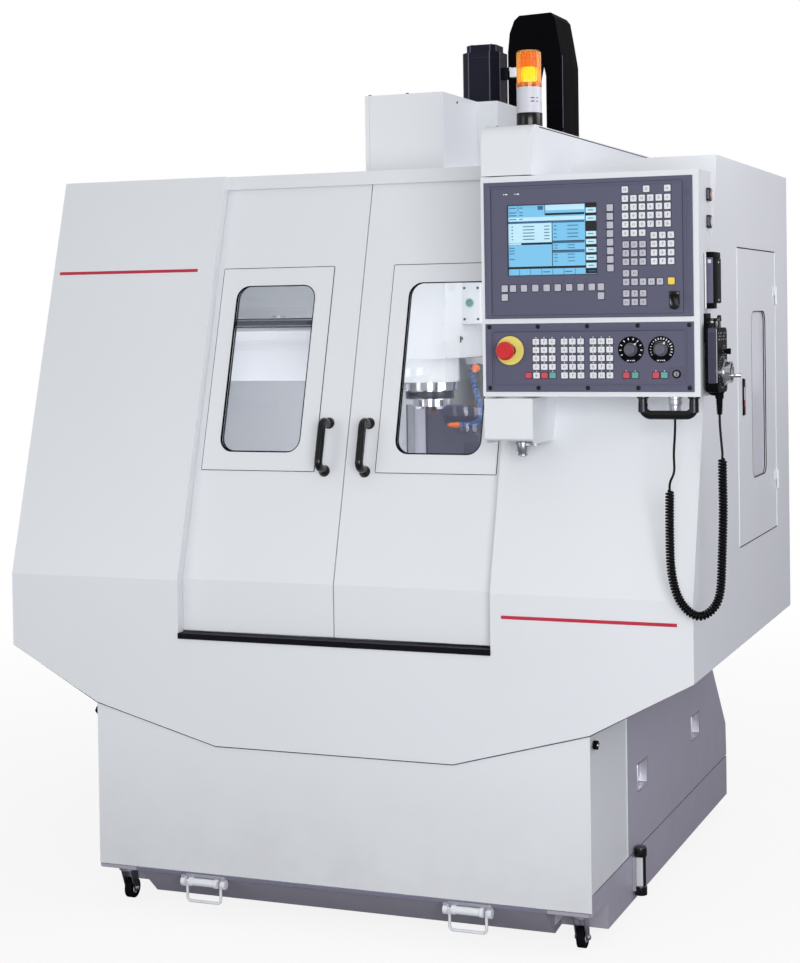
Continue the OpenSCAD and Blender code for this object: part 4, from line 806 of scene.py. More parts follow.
addPiece("display_rim", raisedRim(430.5, 912.5, 1474.5, 1783.5, 15.0, 1.6), "slate", sharp=25)
addPiece("display_groove", [groove((669.0, 1628.0), (444.0, 292.5), 2.0, 0.6, -1.3, -1.85)]
         + [thin(x - 10.8, z - 15, 1.0, 0.6, 0.2, -0.2, 0.1) for x, z in softColumn],
         "slateDark")
addPiece("softkey_lines", [thin(718.0, z + 9.8, 20.0, 0.7, 0.2, -0.15, 0.1)
                           for _, z in softColumn[1:]]
         + [thin(x - 13.2, z + 14.0, 0.7, 14.0, 0.2, -0.15, 0.1) for x, z in softRow[2:9]],
         "slateDark")


def makePortCover(x, z):
    # D-shaped flap: straight top with a hinge bar, round foot, dished front
    outline = np.concatenate([[(11.4, 20.0), (-11.4, 20.0)],
                              around((0.0, -8.6), 11.4, np.linspace(180, 360, 17))])
    rings = [onPanel(*(outline * scale + (x, z)).T, np.full(19, depth)) for scale, depth in
             ((1.0, 0.2), (1.0, -2.6), (0.93, -3.4), (0.80, -3.4), (0.74, -2.8))]
    return np.concatenate(rings), cappedFaces(5, 19)


addPiece("port_cover", [makePortCover(*display["port"]),
                        boxPart(859.5, 881.5, -67.6, -62.5, 1522.0, 1529.5, 1.2)], "blackGloss")
addPiece("panel_clips", [facing([(0, 0), (7.0, 0), (7.0, 1.8), (6.2, 2.6), (4.6, 2.6),
                                 (4.2, 1.4), (0, 1.4)], x, z, 28)
                         for x, z in ((902.0, 1748.0), (900.5, 1512.0))], "slate")
addPiece("panel_lamps", [thin(x, 1756.0, w, 2.2, 0.9, -0.5, 0.1, 4) for x, w in
                         ((478.0, 2.2), (484.0, 6.0), (505.0, 2.2), (512.0, 6.0))], "ledWhite")
print("display panel")

# control panel

control = {"rows": (1421.0, 1402.3, 1383.4, 1364.2, 1344.8), "feedX": 771.0, "speedX": 839.5,
           "dialZ": 1402.0, "stop": (489.0, 1401.5), "key": (874.0, 1347.5),
           "screwX": (440.0, 555.5, 671.0, 787.0, 903.0), "screwZ": (1455.3, 1316.6)}
rows = control["rows"]
paleKeys = [(x, z) for z in rows[:4] for x in (550.5, 569.5, 588.5)] + [(551.0, rows[4])]
paleKeys += [(x, z) for block in ((617.0, 636.0, 655.3), (684.0, 703.0, 722.3)) for z in rows
             for x in block]
redKeys = [(x, rows[4]) for x in (532.0, 570.0, 760.0, 827.0)]
greenKeys = [(x, rows[4]) for x in (589.0, 780.0, 846.0)]
keyField("machine_keys", paleKeys, (15.4, 13.6), "keyPale")
keyField("red_keys", redKeys, (15.0, 13.6), "keyRed")
keyField("green_keys", greenKeys, (15.0, 13.6), "keyGreen")
marksOn("machine_key_marks", paleKeys, 8)
addPiece("key_lamps", [facing([(0, 0), (1.1, 0), (1.0, 0.7), (0.0, 1.0)], x, z + 9.4, 10)
                       for x, z in paleKeys + greenKeys + redKeys[2:]], "ledWhite")
addPiece("panel_screws", [capScrew((x, shell["faceY"], z), front, 5.2, 3.0)
                          for z in control["screwZ"] for x in control["screwX"]], "oxide")
addPiece("control_rim", raisedRim(430.5, 912.5, 1308.2, 1462.2, 14.0, 0.8), "slate", sharp=25)
addPiece("control_groove", [groove((670.5, 1384.2), (450.0, 119.5), 2.0, 0.7, 0.05, -0.25),
                            groove((874.0, 1346.0), (32.0, 30.0), 1.5, 0.35, 0.05, -0.2)],
         "slateDark")


def makeDial(name, x, ticks, inner):
    # flat black dial under the knob, white dashes round three quarters of its edge
    z = control["dialZ"]
    addPiece(name + "_plate", facing([(0, 0.02), (29.5, 0.02), (29.5, 1.0), (28.9, 1.35),
                                      (0, 1.35)], x, z, 72), "blackPlastic")
    parts = []
    for k, a in enumerate(np.radians(np.linspace(210, -30, ticks))):
        along = np.array([math.cos(a), math.sin(a)])
        turn = np.stack([along, [-along[1], along[0]]])
        size = (4.6, 2.0) if ticks < 12 or k > ticks / 3 else (2.6, 1.5)
        corners = (np.array([(-1, -1), (1, -1), (1, 1), (-1, 1)]) * size / 2) @ turn
        parts.append(slab(corners + (x, z) + along * 24.0,
                          lambda u, v, d: onPanel(u, v, d - 1.5), 0.4))
    dots = around((x, z), 17.8, np.linspace(215, 20, 22)) if inner else []
    parts += [thin(u, v, 1.0, 1.0, 0.4, -1.5, -1.1) for u, v in dots]
    parts += [thin(x + dx, z - 24.5, w, 2.4, 0.4, -1.5, -1.1)
              for dx, w in ((-7.0, 5.0), (-1.0, 2.2), (3.0, 2.0), (7.0, 3.6))]
    addPiece(name + "_marks", parts, "whiteInk")


makeDial("feed_scale", control["feedX"], 10, False)
makeDial("speed_scale", control["speedX"], 17, True)


def makeKnobCap(name, x, body, angle):
    # slate cap over the knob with fine flutes, and a white arrow on its skirt
    z = control["dialZ"]
    w = np.linspace(0, 2 * np.pi, 72, endpoint=False)
    flute = 1.0 - 0.018 * (0.5 + 0.5 * np.cos(24 * w))
    rings = [onPanel(x + r * ripple * np.cos(w), z + r * ripple * np.sin(w), np.full(72, -h))
             for r, h, ripple in ((12.95, 6.6, 1), (12.9, 8.0, flute), (12.3, 16.5, flute),
                                  (11.4, 18.2, 1), (10.0, 18.5, 1), (9.4, 18.0, 1),
                                  (0.01, 17.8, 1))]
    faces = gridFaces(7, 72, closeCols=True) + [list(range(72))]
    addPiece(name + "_cap", (np.concatenate(rings), faces), "knobSlate", body, sharp=50)
    turn = math.degrees(0.2)
    arrow = np.vstack([around((x, z), 19.5, [angle]),
                       around((x, z), 14.0, [angle - turn, angle + turn])])
    addPiece(name + "_arrow", slab(arrow, lambda u, v, d: onPanel(u, v, d - 6.9), 5.2),
             "whiteInk", body)


makeKnobCap("feed_knob", control["feedX"], "feed_dial", 50)
makeKnobCap("speed_knob", control["speedX"], "speed_dial", 62)

addPiece("stop_ring", facing([(11.6, 3.1), (32.1, 3.1), (32.1, 0.0), (33.0, 0.0), (33.0, 2.8),
                              (32.0, 3.7), (11.6, 3.7)], *control["stop"], 64), "yellowPale")
addPiece("stop_ring_edge", facing([(33.1, 0.0), (34.0, 0.0), (34.0, 1.2), (33.1, 1.2)],
                                  *control["stop"], 64), "ink")
addPiece("key_lock_ring", facing([(6.0, 4.4), (8.3, 4.4), (8.3, 0.02), (9.6, 0.02), (9.6, 3.6),
                                  (8.8, 5.0), (6.4, 5.2), (6.0, 4.9)], *control["key"], 40),
         "blackGloss")
keyX, keyZ = control["key"]
# a dark insert in the keyway paints the shade inside the slot
addPiece("key_slot_shade", boxAt((keyX, -65.1, keyZ), (1.8, 0.4, 9.6), 0.1), "ink", "key", "chrome")
addPiece("stop_collar", facing([(11.3, 3.7), (14.6, 3.7), (14.6, 7.0), (12.6, 9.0),
                                (12.6, 18.5), (11.3, 18.5)], *control["stop"], 48), "oxide",
         slot="black_plastic")
print("control panel")

# pendant side and handle

pulse = {"x": (935.0, 961.0), "y": (-45.0, 50.0), "z": (1305.0, 1447.0), "round": 14.0,
         "selector": (20.0, 1395.0), "wheel": (0.0, 1349.0)}


def makePulseUnit(s):
    # slate middle with a ribbed front, black shells on both sides of it, marks on the right one
    (x0, x1), (y0, y1), (z0, z1), r = s["x"], s["y"], s["z"], s["round"]

    def plate(z, wider, tall, radius, depth0, depth1, steps):
        return plateOn(((y0 + y1) / 2, z), (y1 - y0 + wider, tall), radius,
                       lambda u, v, d: np.stack([x1 - d, u, v], -1), depth0, depth1, steps)
    addPiece("pulse_shell", plate(1386.0, 2.4, 124.0, 5.0, 1.4, 20.6, 5), "slateDeep")
    addPiece("pulse_ribs", [boxPart(x0 + 7.5, x1 - 3.5, y0 - 2.0, y0 - 0.6, z, z + 2.4, 0.5)
                            for z in np.arange(1330.0, 1436.0, 5.2)], "slateDark")
    addPiece("pulse_front", [plate((z0 + z1) / 2, 1.6, z1 - z0 + 1.0, r - 1.0, -0.9, 1.8, 8),
                             plate(1382.5, 2.2, 152.0, r, 20.2, 27.6, 8),
                             plate(1316.5, 2.0, 22.5, 10.0, 1.2, 21.0, 8)], "blackPlastic")
    addPiece("pulse_edge", boxPart(x1 - 1.9, x1 - 0.7, y0 - 1.9, y0 - 0.9, 1327.0, 1445.0, 0.3),
             "greyPlastic")
    # boot under the unit, and ribbed strain relief of the cord, each ring smaller than the last
    addPiece("pulse_boot", [turned([(0, 0), (9.4, 0), (9.4, 12.0), (8.6, 15.5), (0, 15.5)],
                                   (955.0, -2.0, 1305.6), -up, 32),
                            turned([(0, 0), (19.0, 0), (17.0, 3.5), (11.0, 7.0), (0, 8.0)],
                                   (948.0, 0.0, 1304.6), -up, 6)], "rubber", sharp=60)
    line = smoothRoute([(955, -2, z) for z in (1291, 1280, 1268, 1255.4)], 40)
    t = np.linspace(0, 1, len(line))
    addPiece("pulse_relief", tubeAlong(line, 7.2 - 1.9 * t + 1.3 * np.sign(
        np.sin(2 * np.pi * 7 * t + 0.3)), 20), "rubber", sharp=50)
    rows = [(y, z) for z in (1436, 1429, 1422) for y in (-34, -27, -14, -7, 12, 20, 32)]
    marks = [boxPart(x1 + 0.7, x1 + 1.2, y - 2.2, y + 2.2 - k % 2, z - 0.9, z + 0.9, 0.2)
             for k, (y, z) in enumerate(rows) if k % 3 != 1]
    for place, radius, count in ((s["selector"], 13.5, 12), (s["wheel"], 34.5, 24)):
        marks += [boxAt((x1 + 0.95, y, z), (0.5, 1.4, 1.8), 0.2)
                  for y, z in around(place, radius, np.arange(count) * 360 / count)]
    addPiece("pulse_marks", marks, "whiteInk")
    # clamp over the unit: a slanted strap, its bar, and a small thumb screw
    strap = [(947.0, 1446.0), (950.5, 1446.0), (947.0, 1469.0), (943.0, 1469.0)]
    addPiece("pulse_clamp", [slab(strap, lambda u, v, d: np.stack([u, d - 7.0, v], -1), 14.0),
                             boxPart(943.5, 956.0, -7.0, 7.0, 1462.0, 1469.0, 1.5),
                             boxPart(927.0, 945.0, -7.0, 7.0, 1463.0, 1469.0, 1.5),
                             turned([(0, 0), (4.4, 0), (4.8, 2), (4.8, 12), (3.8, 13.5),
                                     (0, 13.8)], (956.0, 0.0, 1462.0), up, 24),
                             turned([(0, 0), (3.8, 0), (3.4, 16), (0, 16)],
                                    (955.6, 0.0, 1446.5), up, 20)], "blackGloss")
    y, z = s["wheel"]
    addPiece("pulse_crank_sleeve", turned([(3.6, 977.0), (5.0, 977.0), (5.4, 979.0),
                                           (5.2, 1000.0), (4.6, 1000.8), (3.6, 1000.8)],
                                          (0.0, y + 12.0, z - 7.0), right, 28), "chrome",
             "pulse_wheel")
    addPiece("pulse_wheel_scale", [boxAt((969.125, u, v), (0.45, 0.7, 0.7), 0.1) for u, v in
                                   around((y, z), 27.0, np.arange(0, 360, 7.2))], "ink",
             "pulse_wheel", "chrome")


makePulseUnit(pulse)

holder = {"x": (926.2, 947.0), "y": (-12.0, 61.0), "z": (1490.0, 1616.0), "cap": 13.0}


def makeHolder(h):
    # memory card box on the flank: pale edge, slate front, black cover plate with two screws
    (x0, x1), (y0, y1), (z0, z1), c = h["x"], h["y"], h["z"], h["cap"]
    addPiece("holder_front", boxPart(x0 + 4.4, x1 - 0.8, y0, y1 - 1.0, z0 + c - 1, z1 - c + 1),
             "slate")
    addPiece("holder_edge", boxPart(x0, x0 + 4.4, y0 - 1.2, y0 + 6.0, z0, z1 - 1.0), "whiteInk")
    addPiece("holder_mark", boxPart(x0 + 8.0, x1 - 5.0, y0 - 0.5, y0 + 0.4, z1 - c - 12.0,
                                    z1 - c - 4.0, 0.2), "greyPlastic")
    addPiece("holder_line", boxPart(x0 - 0.4, x0 + 0.9, y0 - 1.9, y0 + 3.0, z0 + 1.0, z1 - 2.0,
                                    0.3), "blackPlastic")
    addPiece("holder_frame", [boxPart(x1 - 1.2, x1 + 1.2, y0 - 0.4, y1, z0 + c, z1 - c, 1.0),
                              boxPart(x0 + 4.0, x1 + 0.6, y0 - 0.8, y1 - 2.0, z1 - c, z1, 1.6),
                              boxPart(x0 + 4.0, x1 + 0.6, y0 - 0.8, y0 + 30.0, z0, z0 + c,
                                      1.6)], "blackPlastic")
    addPiece("holder_screw", [capScrew((x1 + 1.1, 34.0, z), right, 3.0, 1.4)
                              for z in (z0 + c + 6.0, z1 - 23.0)], "steel")


makeHolder(holder)

rockers = {"y": 30.0, "out": 928.0, "upper": (1745.0, "lensOrange"),
           "lower": (1684.5, "lensPale"),
           "dip": [(7.5, 10.3), (6.0, 0.0), (7.5, -10.3), (6.6, -10.3), (5.1, 0.0), (6.6, 10.3)]}


def makeRocker(r, name):
    # black bezel on the flank; on the rocker a slate half and a lens half that follow its dip
    z, lens = r[name]
    addPiece("rocker_rim_" + name,
             sweptFrame((r["y"], z), (25.6, 28.6), 2.0,
                        [(0.3, 0.2), (0.3, 6.0), (-0.4, 6.8), (-2.2, 6.8), (-2.5, 5.6),
                         (-2.5, 4.6), (-0.4, 4.6), (-0.4, 0.2)],
                        lambda u, v, d: np.stack([926.0 + d, u, v], -1), 4), "blackPlastic")
    addPiece("rocker_cheek_" + name,
             plateOn((931.2, z), (5.0, 21.0), 1.0,
                     lambda u, v, d: np.stack([u, 15.4 + d, v], -1), -0.4, 0.3), "slate")
    for part, y0, wide, look, slot in (("slate", 21.2, 3.0, "slate", None),
                                       ("lens", 24.4, 14.6, lens, "amber_lens")):
        addPiece("rocker_%s_%s" % (part, name),
                 slab(np.array(r["dip"]) + (r["out"], z),
                      lambda u, v, d: np.stack([u, y0 + d, v], -1), wide),
                 look, name + "_rocker", slot)


makeRocker(rockers, "upper")
makeRocker(rockers, "lower")

plugRows = [(0, 0), (8.2, 0), (8.6, 1), (8.6, 11), (12.0, 12.4), (12.6, 13.4)]
for k in range(9):
    plugRows += [(r, 14 + k * 1.3 + z) for r, z in ((12.9, 0), (12.9, 0.6), (12.5, 0.8),
                                                    (12.5, 1.2))]
plugRows += [(12.9, 26.2), (14.9, 27.0), (15.2, 28.0), (15.2, 36.0), (13.8, 37.0), (13.8, 39.0),
             (16.0, 40.0), (16.0, 46.0), (15.2, 47.0), (0, 47.0)]
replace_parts(addPiece("cord_plug", turned(plugRows, (856.0, -8.0, 1250.0), up), "silver",
                     slot="chrome", sharp=30), "cord_connector")
addPiece("bow_feet", [turned([(0, 0), (13.5, 0), (13.5, 3.0), (11.5, 5.0), (0, 5.0)],
                             (x, -48.0, 1297.0), -up, 32) for x in (793.0, 908.0)],
         "blackGloss")
addPiece("bow_sleeve", [tubeAlong([(x, -48.0, z) for z in np.linspace(1262, 1284, 8)], 10.5, 28)
                        for x in (793.0, 908.0)], "darkSteel")
print("pendant side")

# tower, arm, motor and chain

tower = {"place": (508.0, 45.0), "foot": 1917.0, "lens": (2017.0, 2094.0), "ribs": 40}


def makeTower(t):
    # lens wall whose radius swells and falls forty times round, domed at the top
    place, (z0, z1) = t["place"], t["lens"]
    x, y = place
    foot, base = (x, y, t["foot"]), (x, y, z0)
    w = np.linspace(0, 2 * np.pi, t["ribs"] * 6, endpoint=False)
    ripple = 0.55 * np.cos(t["ribs"] * w)
    wall = [(29.5, z0 - 9), (29.5, z0 + 1), (27.9, z0 + 1), (27.9, z1 - 9), (27.2, z1 - 4),
            (24.5, z1 - 1), (0.0, z1), (0.0, z1 - 2.6), (23.0, z1 - 3.6), (25.3, z1 - 7),
            (25.5, z0 + 0.4), (29.15, z0 + 0.2), (29.15, z0 - 9)]
    rings = [np.stack([x + s * np.cos(w), y + s * np.sin(w), np.full_like(w, z)], -1)
             for s, z in ((r + (ripple if 27.0 < r < 28.5 else 0.0 * w), z) for r, z in wall)]
    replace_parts(addPiece("tower_lamp_lens", hoop(rings), "amber", "frame", sharp=60),
                "tower_lens")
    addPiece("tower_bulb", turned([(0, 6), (17.0, 6), (20.5, 9), (22.0, 20), (20.5, 34),
                                   (15.0, 39), (0, 40)], base, up, 40), "bulb", "frame",
             sharp=60)
    addPiece("tower_reflector", turned([(0, 0.2), (24.6, 0.2), (24.6, 1.6), (11.0, 6.0),
                                        (0, 6.0)], base, up), "steel", "frame")
    # pale strips round the top of the lens paint its highlights
    addPiece("tower_painted_highlights", [boxAt((u, v, z1 - 10.25), (1.6, 1.6, 9.5), 0.3) for u, v in
                              around(place, 25.0, np.arange(0, 360, 15))], "glint", "frame")
    addPiece("tower_foot", turned([(29.1, 0.2), (30.0, 0.2), (30.3, 1.4), (30.3, 30.6),
                                   (30.0, 31.8), (29.1, 31.8)], foot, up, 64), "blackGloss",
             "frame")
    addPiece("tower_rings", [turned([(28.0, h), (29.4, h), (29.4, h + 2.6), (28.0, h + 2.6)],
                                    foot, up, 64) for h in (32.6, 96.0)]
             + [boxPart(x - 4.0, x - 2.6, y - 29.5, y - 28.0, foot[2] + 36.0, foot[2] + 95.0,
                        0.3)], "greyPlastic", "frame")
    # two rows of plain dashes on the pale body, bent round it
    dashes = []
    for h in (57.0, 65.0):
        for span in ((-66.0, -48.0), (-38.0, -30.0)):
            bent = [np.c_[around(place, r, np.linspace(*span, 7)), np.full(7, foot[2] + z)]
                    for r, z in ((29.15, h - 1.0), (29.35, h - 1.0), (29.35, h + 1.0),
                                 (29.15, h + 1.0))]
            dashes.append((np.concatenate(bent), gridFaces(4, 7, True)
                           + [[0, 7, 14, 21], [6, 27, 20, 13]]))
    addPiece("tower_dashes", dashes, "ink", "frame")


makeTower(tower)
addPiece("arm_screws", [capScrew((x, y, 1917.0), up, 4.0, 2.4) for x, y in
                        ((444.0, 0.0), (452.0, 560.0), (452.0, 1060.0))], "oxide", "frame")
addPiece("arm_seam", boxPart(539.6, 540.5, 16.0, 1098.0, 1912.2, 1914.6, 0.2), "ink", "frame",
         "black_metal")
addPiece("bracket_gland", [turned([(0, 0), (17.0, 0), (17.0, 4.0), (15.0, 5.0), (15.0, 20.0),
                                   (12.5, 23.0), (12.5, 30.0), (9.0, 33.0), (0, 33.0)],
                                  (492.0, 12.0, 1188.0), -up, 40),
                           boxPart(505.0, 531.0, -8.0, 22.0, 1180.0, 1188.5, 1.5)], "steel",
         "frame")

motor = {"y": 1216.0, "body": (57.0, 24.0, 2054.0, 2260.0), "cap": (45.0, 14.0, 2260.0, 2282.0)}


def makeMotor(m):
    # screws of flange and cap, pale rounded strips on the eight-sided body's edges that paint
    # its highlights, its bands and its plug
    y, (wide, slant, bottom, top) = m["y"], m["body"]
    addPiece("motor_screws", [capScrew((a * 55, y + b * 55, bottom), up, 5.5, 6.0)
                              for a in bothSides for b in bothSides], "darkSteel", "frame")
    addPiece("motor_cap_screws", [capScrew((a * 30, y + b * 30, m["cap"][3]), up, 3.5, 3.0)
                                  for a in bothSides for b in bothSides], "steel", "frame")
    # pale rounded strips on the body's and cap's edges paint highlights
    edges = [turned([(0, 0.4), (1.9, 0.4), (1.9, z1 - z0 - 0.4), (0, z1 - z0 - 0.4)],
                    (a * (half - dx - 0.2), y + b * (half - dy - 0.2), z0), up, 12)
             for half, cut, z0, z1 in (m["body"], m["cap"])
             for a, b in ((-1, -1), (1, -1), (1, 1), (-1, 1))
             for dx, dy in ((cut, 0.0), (0.0, cut))]
    addPiece("motor_painted_highlights", edges, "chainEdge", "frame", "black_metal")
    ex, ey, cx, cy = np.array([(-1, -1, 1, 0), (1, -1, 1, 0), (1, -1, 0, 1), (1, 1, 0, 1),
                               (1, 1, 1, 0), (-1, 1, 1, 0), (-1, 1, 0, 1), (-1, -1, 0, 1)]).T
    addPiece("motor_bands", [hoop([np.stack([ex * (wide + out - slant * cx),
                                             y + ey * (wide + out - slant * cy),
                                             np.full(8, z + dz)], -1)
                                   for out, dz in ((-0.5, 0.0), (0.35, 0.0), (0.35, 1.6),
                                                   (-0.5, 1.6))])
                             for z in (bottom + 30.0, top - 18.0)], "ink", "frame",
             "black_metal")
    addPiece("motor_plug", [boxPart(79.6, 90.0, y - 13.0, y + 13.0, 2183.0, 2213.0, 2.0),
                            turned([(0, 0), (10.0, 0), (10.0, 5), (8.5, 6.5), (8.5, 10.5),
                                    (0, 10.5)], (89.5, y, 2198.0), right, 28)],
             "blackPlastic", "frame")


makeMotor(motor)
print("tower, arm and motor")

chain = {"y": (1030.0, 1190.0), "step": 27.0, "width": 45.0,
         "path": [(157.5, 2000), (157.5, 2196), (166.5, 2250), (180, 2284), (192, 2288),
                  (236, 2289), (250, 2276), (259, 2215), (270.5, 2177), (270.5, 1860)]}


def makeChainLinks(c):
    # side plates of the links: a raised pad on both faces of the band for each step along it
    path = np.array([(x, 0.0, z) for x, z in c["path"]])
    gone = np.r_[0, np.cumsum(np.linalg.norm(np.diff(path, axis=0), axis=1))]
    count = int(gone[-1] / c["step"])
    parts = []
    for s in (np.arange(count) + 0.5) * gone[-1] / count:
        i = int(np.searchsorted(gone, s, "right")) - 1
        along = unitRows(path[i + 1] - path[i])
        place = path[i] + along * (s - gone[i])
        bent = place[2] > 2190.0
        pad = padBlock(c["step"] - (9.0 if bent else 1.4), c["width"] - (8.0 if bent else 0),
                       0.8, 3.0, 0.4)
        for y, u, w in ((c["y"][0], along, front), (c["y"][1], -along, back)):
            parts.append(stamped(pad, [place + (0, y, 0)], u, (-along[2], 0.0, along[0]), w))
    parts += [boxPart(x + 1.0, x + 48.0, c["y"][0] - 1.4, c["y"][1] + 1.4, z + 0.5, z + 24.0,
                      1.5) for x, z in ((133.0, 2000.0), (246.0, 1860.0))]
    addPiece("chain_links", parts, "chainBlack", "frame", sharp=30)


makeChainLinks(chain)
# a pale strip on the chain's front-right edge paints its highlight
addPiece("chain_painted_highlight", [boxPart(294.2, 295.7, 1029.2, 1030.8, z0, z1, 0.4)
                        for z0, z1 in ((2010, 2215), (1990, 2004), (1962, 1980))], "chainEdge",
         "frame")
addPiece("chain_tag", [boxPart(139.0, 162.0, 1024.0, 1030.5, 2161.0, 2189.0, 2.0),
                       boxPart(137.0, 143.0, 1026.0, 1030.5, 2178.0, 2191.0, 1.5)], "whiteInk",
         "frame")
print("cable chain")

# head, spindle and hoses

headBits = {"coverX": 111.0, "box": (110.7, 164.0, 672.0, 790.0, 1458.0, 1570.0),
            "sight": (133.0, 1516.0), "screws": ((118.0, 156.5), (1472.0, 1556.0))}


def makeHeadBits(h):
    # gear box cover beside the head with its oil sight, a small lever, and the cover's screws
    x, face = h["coverX"], h["box"][2]
    sight = (h["sight"][0], face, h["sight"][1])
    addPiece("sight_plate", boxPart(*h["box"], 2.0), "white", "head")
    addPiece("sight_screws", [capScrew((u, face, v), front, 3.6, 2.2) for u in h["screws"][0]
                              for v in h["screws"][1]], "oxide", "head")
    addPiece("sight_rim", turned([(10.6, 0.0), (14.0, 0.0), (14.0, 1.6), (12.8, 2.8),
                                  (11.0, 2.8), (10.6, 1.8)], sight, front), "greyPlastic",
             "head")
    addPiece("sight_glass", turned([(0, 0.2), (10.9, 0.2), (10.9, 1.6), (7.0, 2.6), (0, 2.9)],
                                   sight, front), "green", "head")
    addPiece("head_lever", [boxPart(x, x + 3.0, 650.0, 658.0, 1409.0, 1427.0, 1.0),
                            capScrew((x + 2.5, 660.0, 1420.0), right, 4.0, 3.0)], "darkSteel",
             "head")
    addPiece("cover_screws", [capScrew((u, v, 2072.6), up, 5.0, 3.4) for u, v in
                              ((-100.0, 553.0), (8.0, 552.0), (100.0, 640.0))]
             + [capScrew((x, 654.0, 2055.0), right, 3.4, 2.0)]
             + [capScrew((s * 169.0, 1000.0, z), s * right, 3.4, 2.0) for s in bothSides
                for z in (1560.0, 1900.0)], "oxide", "head")
    addPiece("cover_seam", boxPart(-99.0, -98.2, 542.7, 543.2, 1372.0, 2070.0, 0.1), "keyGrey",
             "head", "paint_white")


makeHeadBits(headBits)

# ring of screws in the flange, the flange's bright edge, and the dark band under it
spindle = {"middle": (0.0, 710.0), "screwRadius": 70.5}
addPiece("spindle_screws", [capScrew((x, y, 1280.2), -up, 4.2, 3.0, 12) for x, y in
                            around(spindle["middle"], spindle["screwRadius"],
                                   np.arange(0, 360, 45) + 10)], "darkSteel", "head")
addPiece("spindle_flange", turned([(67.5, 1279.4), (75.8, 1279.4), (76.7, 1280.2),
                                   (76.7, 1301.2), (76.05, 1301.9), (76.05, 1279.95),
                                   (67.5, 1279.95)], (*spindle["middle"], 0.0), up, 96),
         "chrome", "head")
addPiece("spindle_band", turned([(66.1, 1256.5), (66.6, 1257.5), (66.6, 1276.0),
                                 (66.1, 1277.0)], (*spindle["middle"], 0.0), up, 96),
         "darkSteel", "main_spindle", "steel")

hoses = {"radius": 8.2, "step": 12.0, "block": (88.0, 154.0), "valve": (121.0, 757.0, 1337.0),
         "paths": [[(100, 775, 1350), (108, 762, 1305), (124, 748, 1265), (140, 730, 1228),
                    (146, 712, 1203), (138, 690, 1190), (120, 665, 1186), (104, 642, 1187)],
                   [(140, 792, 1350), (138, 782, 1312), (146, 768, 1275), (158, 750, 1240),
                    (170, 735, 1212), (182, 722, 1198)]]}


def makeHoses(h):
    # beads along each route: the radius rises and falls once for every link
    links, nozzles, collars = [], [], []
    for path in h["paths"]:
        line, length = evenSteps(smoothRoute(path, 12), 240)
        phase = (np.linspace(0, length, len(line)) / h["step"]) % 1.0
        bead = np.sqrt(np.clip(1 - ((phase - 0.42) / 0.5) ** 2, 0.0, 1.0))
        radius = h["radius"] * (0.56 + 0.46 * np.where(phase < 0.84, bead, 0.0))
        links.append(tubeAlong(line, radius, 14))
        nozzles.append(turned([(0, -2), (8.2, -2), (8.6, 3), (7.4, 7), (6.0, 22), (4.6, 30),
                               (3.2, 30), (3.0, 12), (0, 12)], line[-1], line[-1] - line[-6],
                              24))
        collars.append(turned([(0, 0), (8.6, 0), (8.6, 9), (0, 9)],
                              np.array(path[0]) - [0, 0, 6], up, 24))
    lever = [turned([(0, 0), (10.0, 0), (10.4, 3), (10.4, 12), (9.4, 14), (0, 14)],
                    h["valve"], front, 28),
             boxPart(116.0, 126.0, 735.0, 744.0, 1326.0, 1349.0, 2.0)]
    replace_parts(addPiece("hose_links", links + collars, "blueHose", "head", sharp=50),
                "coolant_hoses")
    addPiece("hose_block", boxPart(*h["block"], 757, 806, 1346, 1368, 2.0), "steel", "head")
    addPiece("hose_nozzles", nozzles + lever, "orange", "head")


makeHoses(hoses)

addPiece("splash_screws", [capScrew((s * 108.0, 1024.0, 1207.0), front, 8.0, 4.0)
                           for s in bothSides], "oxide", "frame")
for look, x0, x1 in (("base", 131.5, 164.0), ("castGrey", 164.0, 187.0)):
    addPiece("way_cover_" + look, [sideBox(s, x0, x1, 1016.5, 1019.7, 716.0, 1222.5, 0.6)
                                   for s in bothSides], look, "frame", "paint_white")
addPiece("magazine_rail", boxPart(-799.0, -231.5, 509.5, 515.8, 1456.0, 1482.0, 1.5),
         "blackMetal", "frame")
addPiece("magazine_rail_lines", [boxPart(-798.0, -231.0, 508.6, 511.0, z, z + 2.6)
                                 for z in (1460.0, 1475.5)], "steel", "frame")
addPiece("magazine_hub", turned([(0, 0), (30, 0), (30, 4), (26, 8), (12, 10), (0, 10)],
                                (-455.0, 710.0, 1392.0), -up), "steel", "carousel")
print("head and chamber")

# base, tank and casters

pulls = {"y": (475.0, 1070.0), "z": 322.0, "size": (92.0, 64.0)}


def makePulls(p):
    # silver cup with a rolled rim in each recess
    rim = [(4.0, 0.1), (3.6, -1.4), (0.8, -1.8), (-0.6, -1.0), (-1.0, 18.6), (-0.05, 18.6),
           (-0.05, 0.1)]
    parts, (wide, tall) = [], p["size"]
    for sign in bothSides:
        for y in p["y"]:
            def place(u, v, d):
                return np.stack([sign * (646.0 - d), u, v], -1)
            parts += [sweptFrame((y, p["z"]), (wide, tall), 3.0, rim, place, 5),
                      plateOn((y, p["z"]), (wide - 1.4, tall - 1.4), 2.0, place, 18.0, 19.4)]
    addPiece("pull_cups", parts, "silver", "frame")


makePulls(pulls)

knob = {"middle": (26.0, 492.0), "radius": 10.4, "lobe": 3.4}


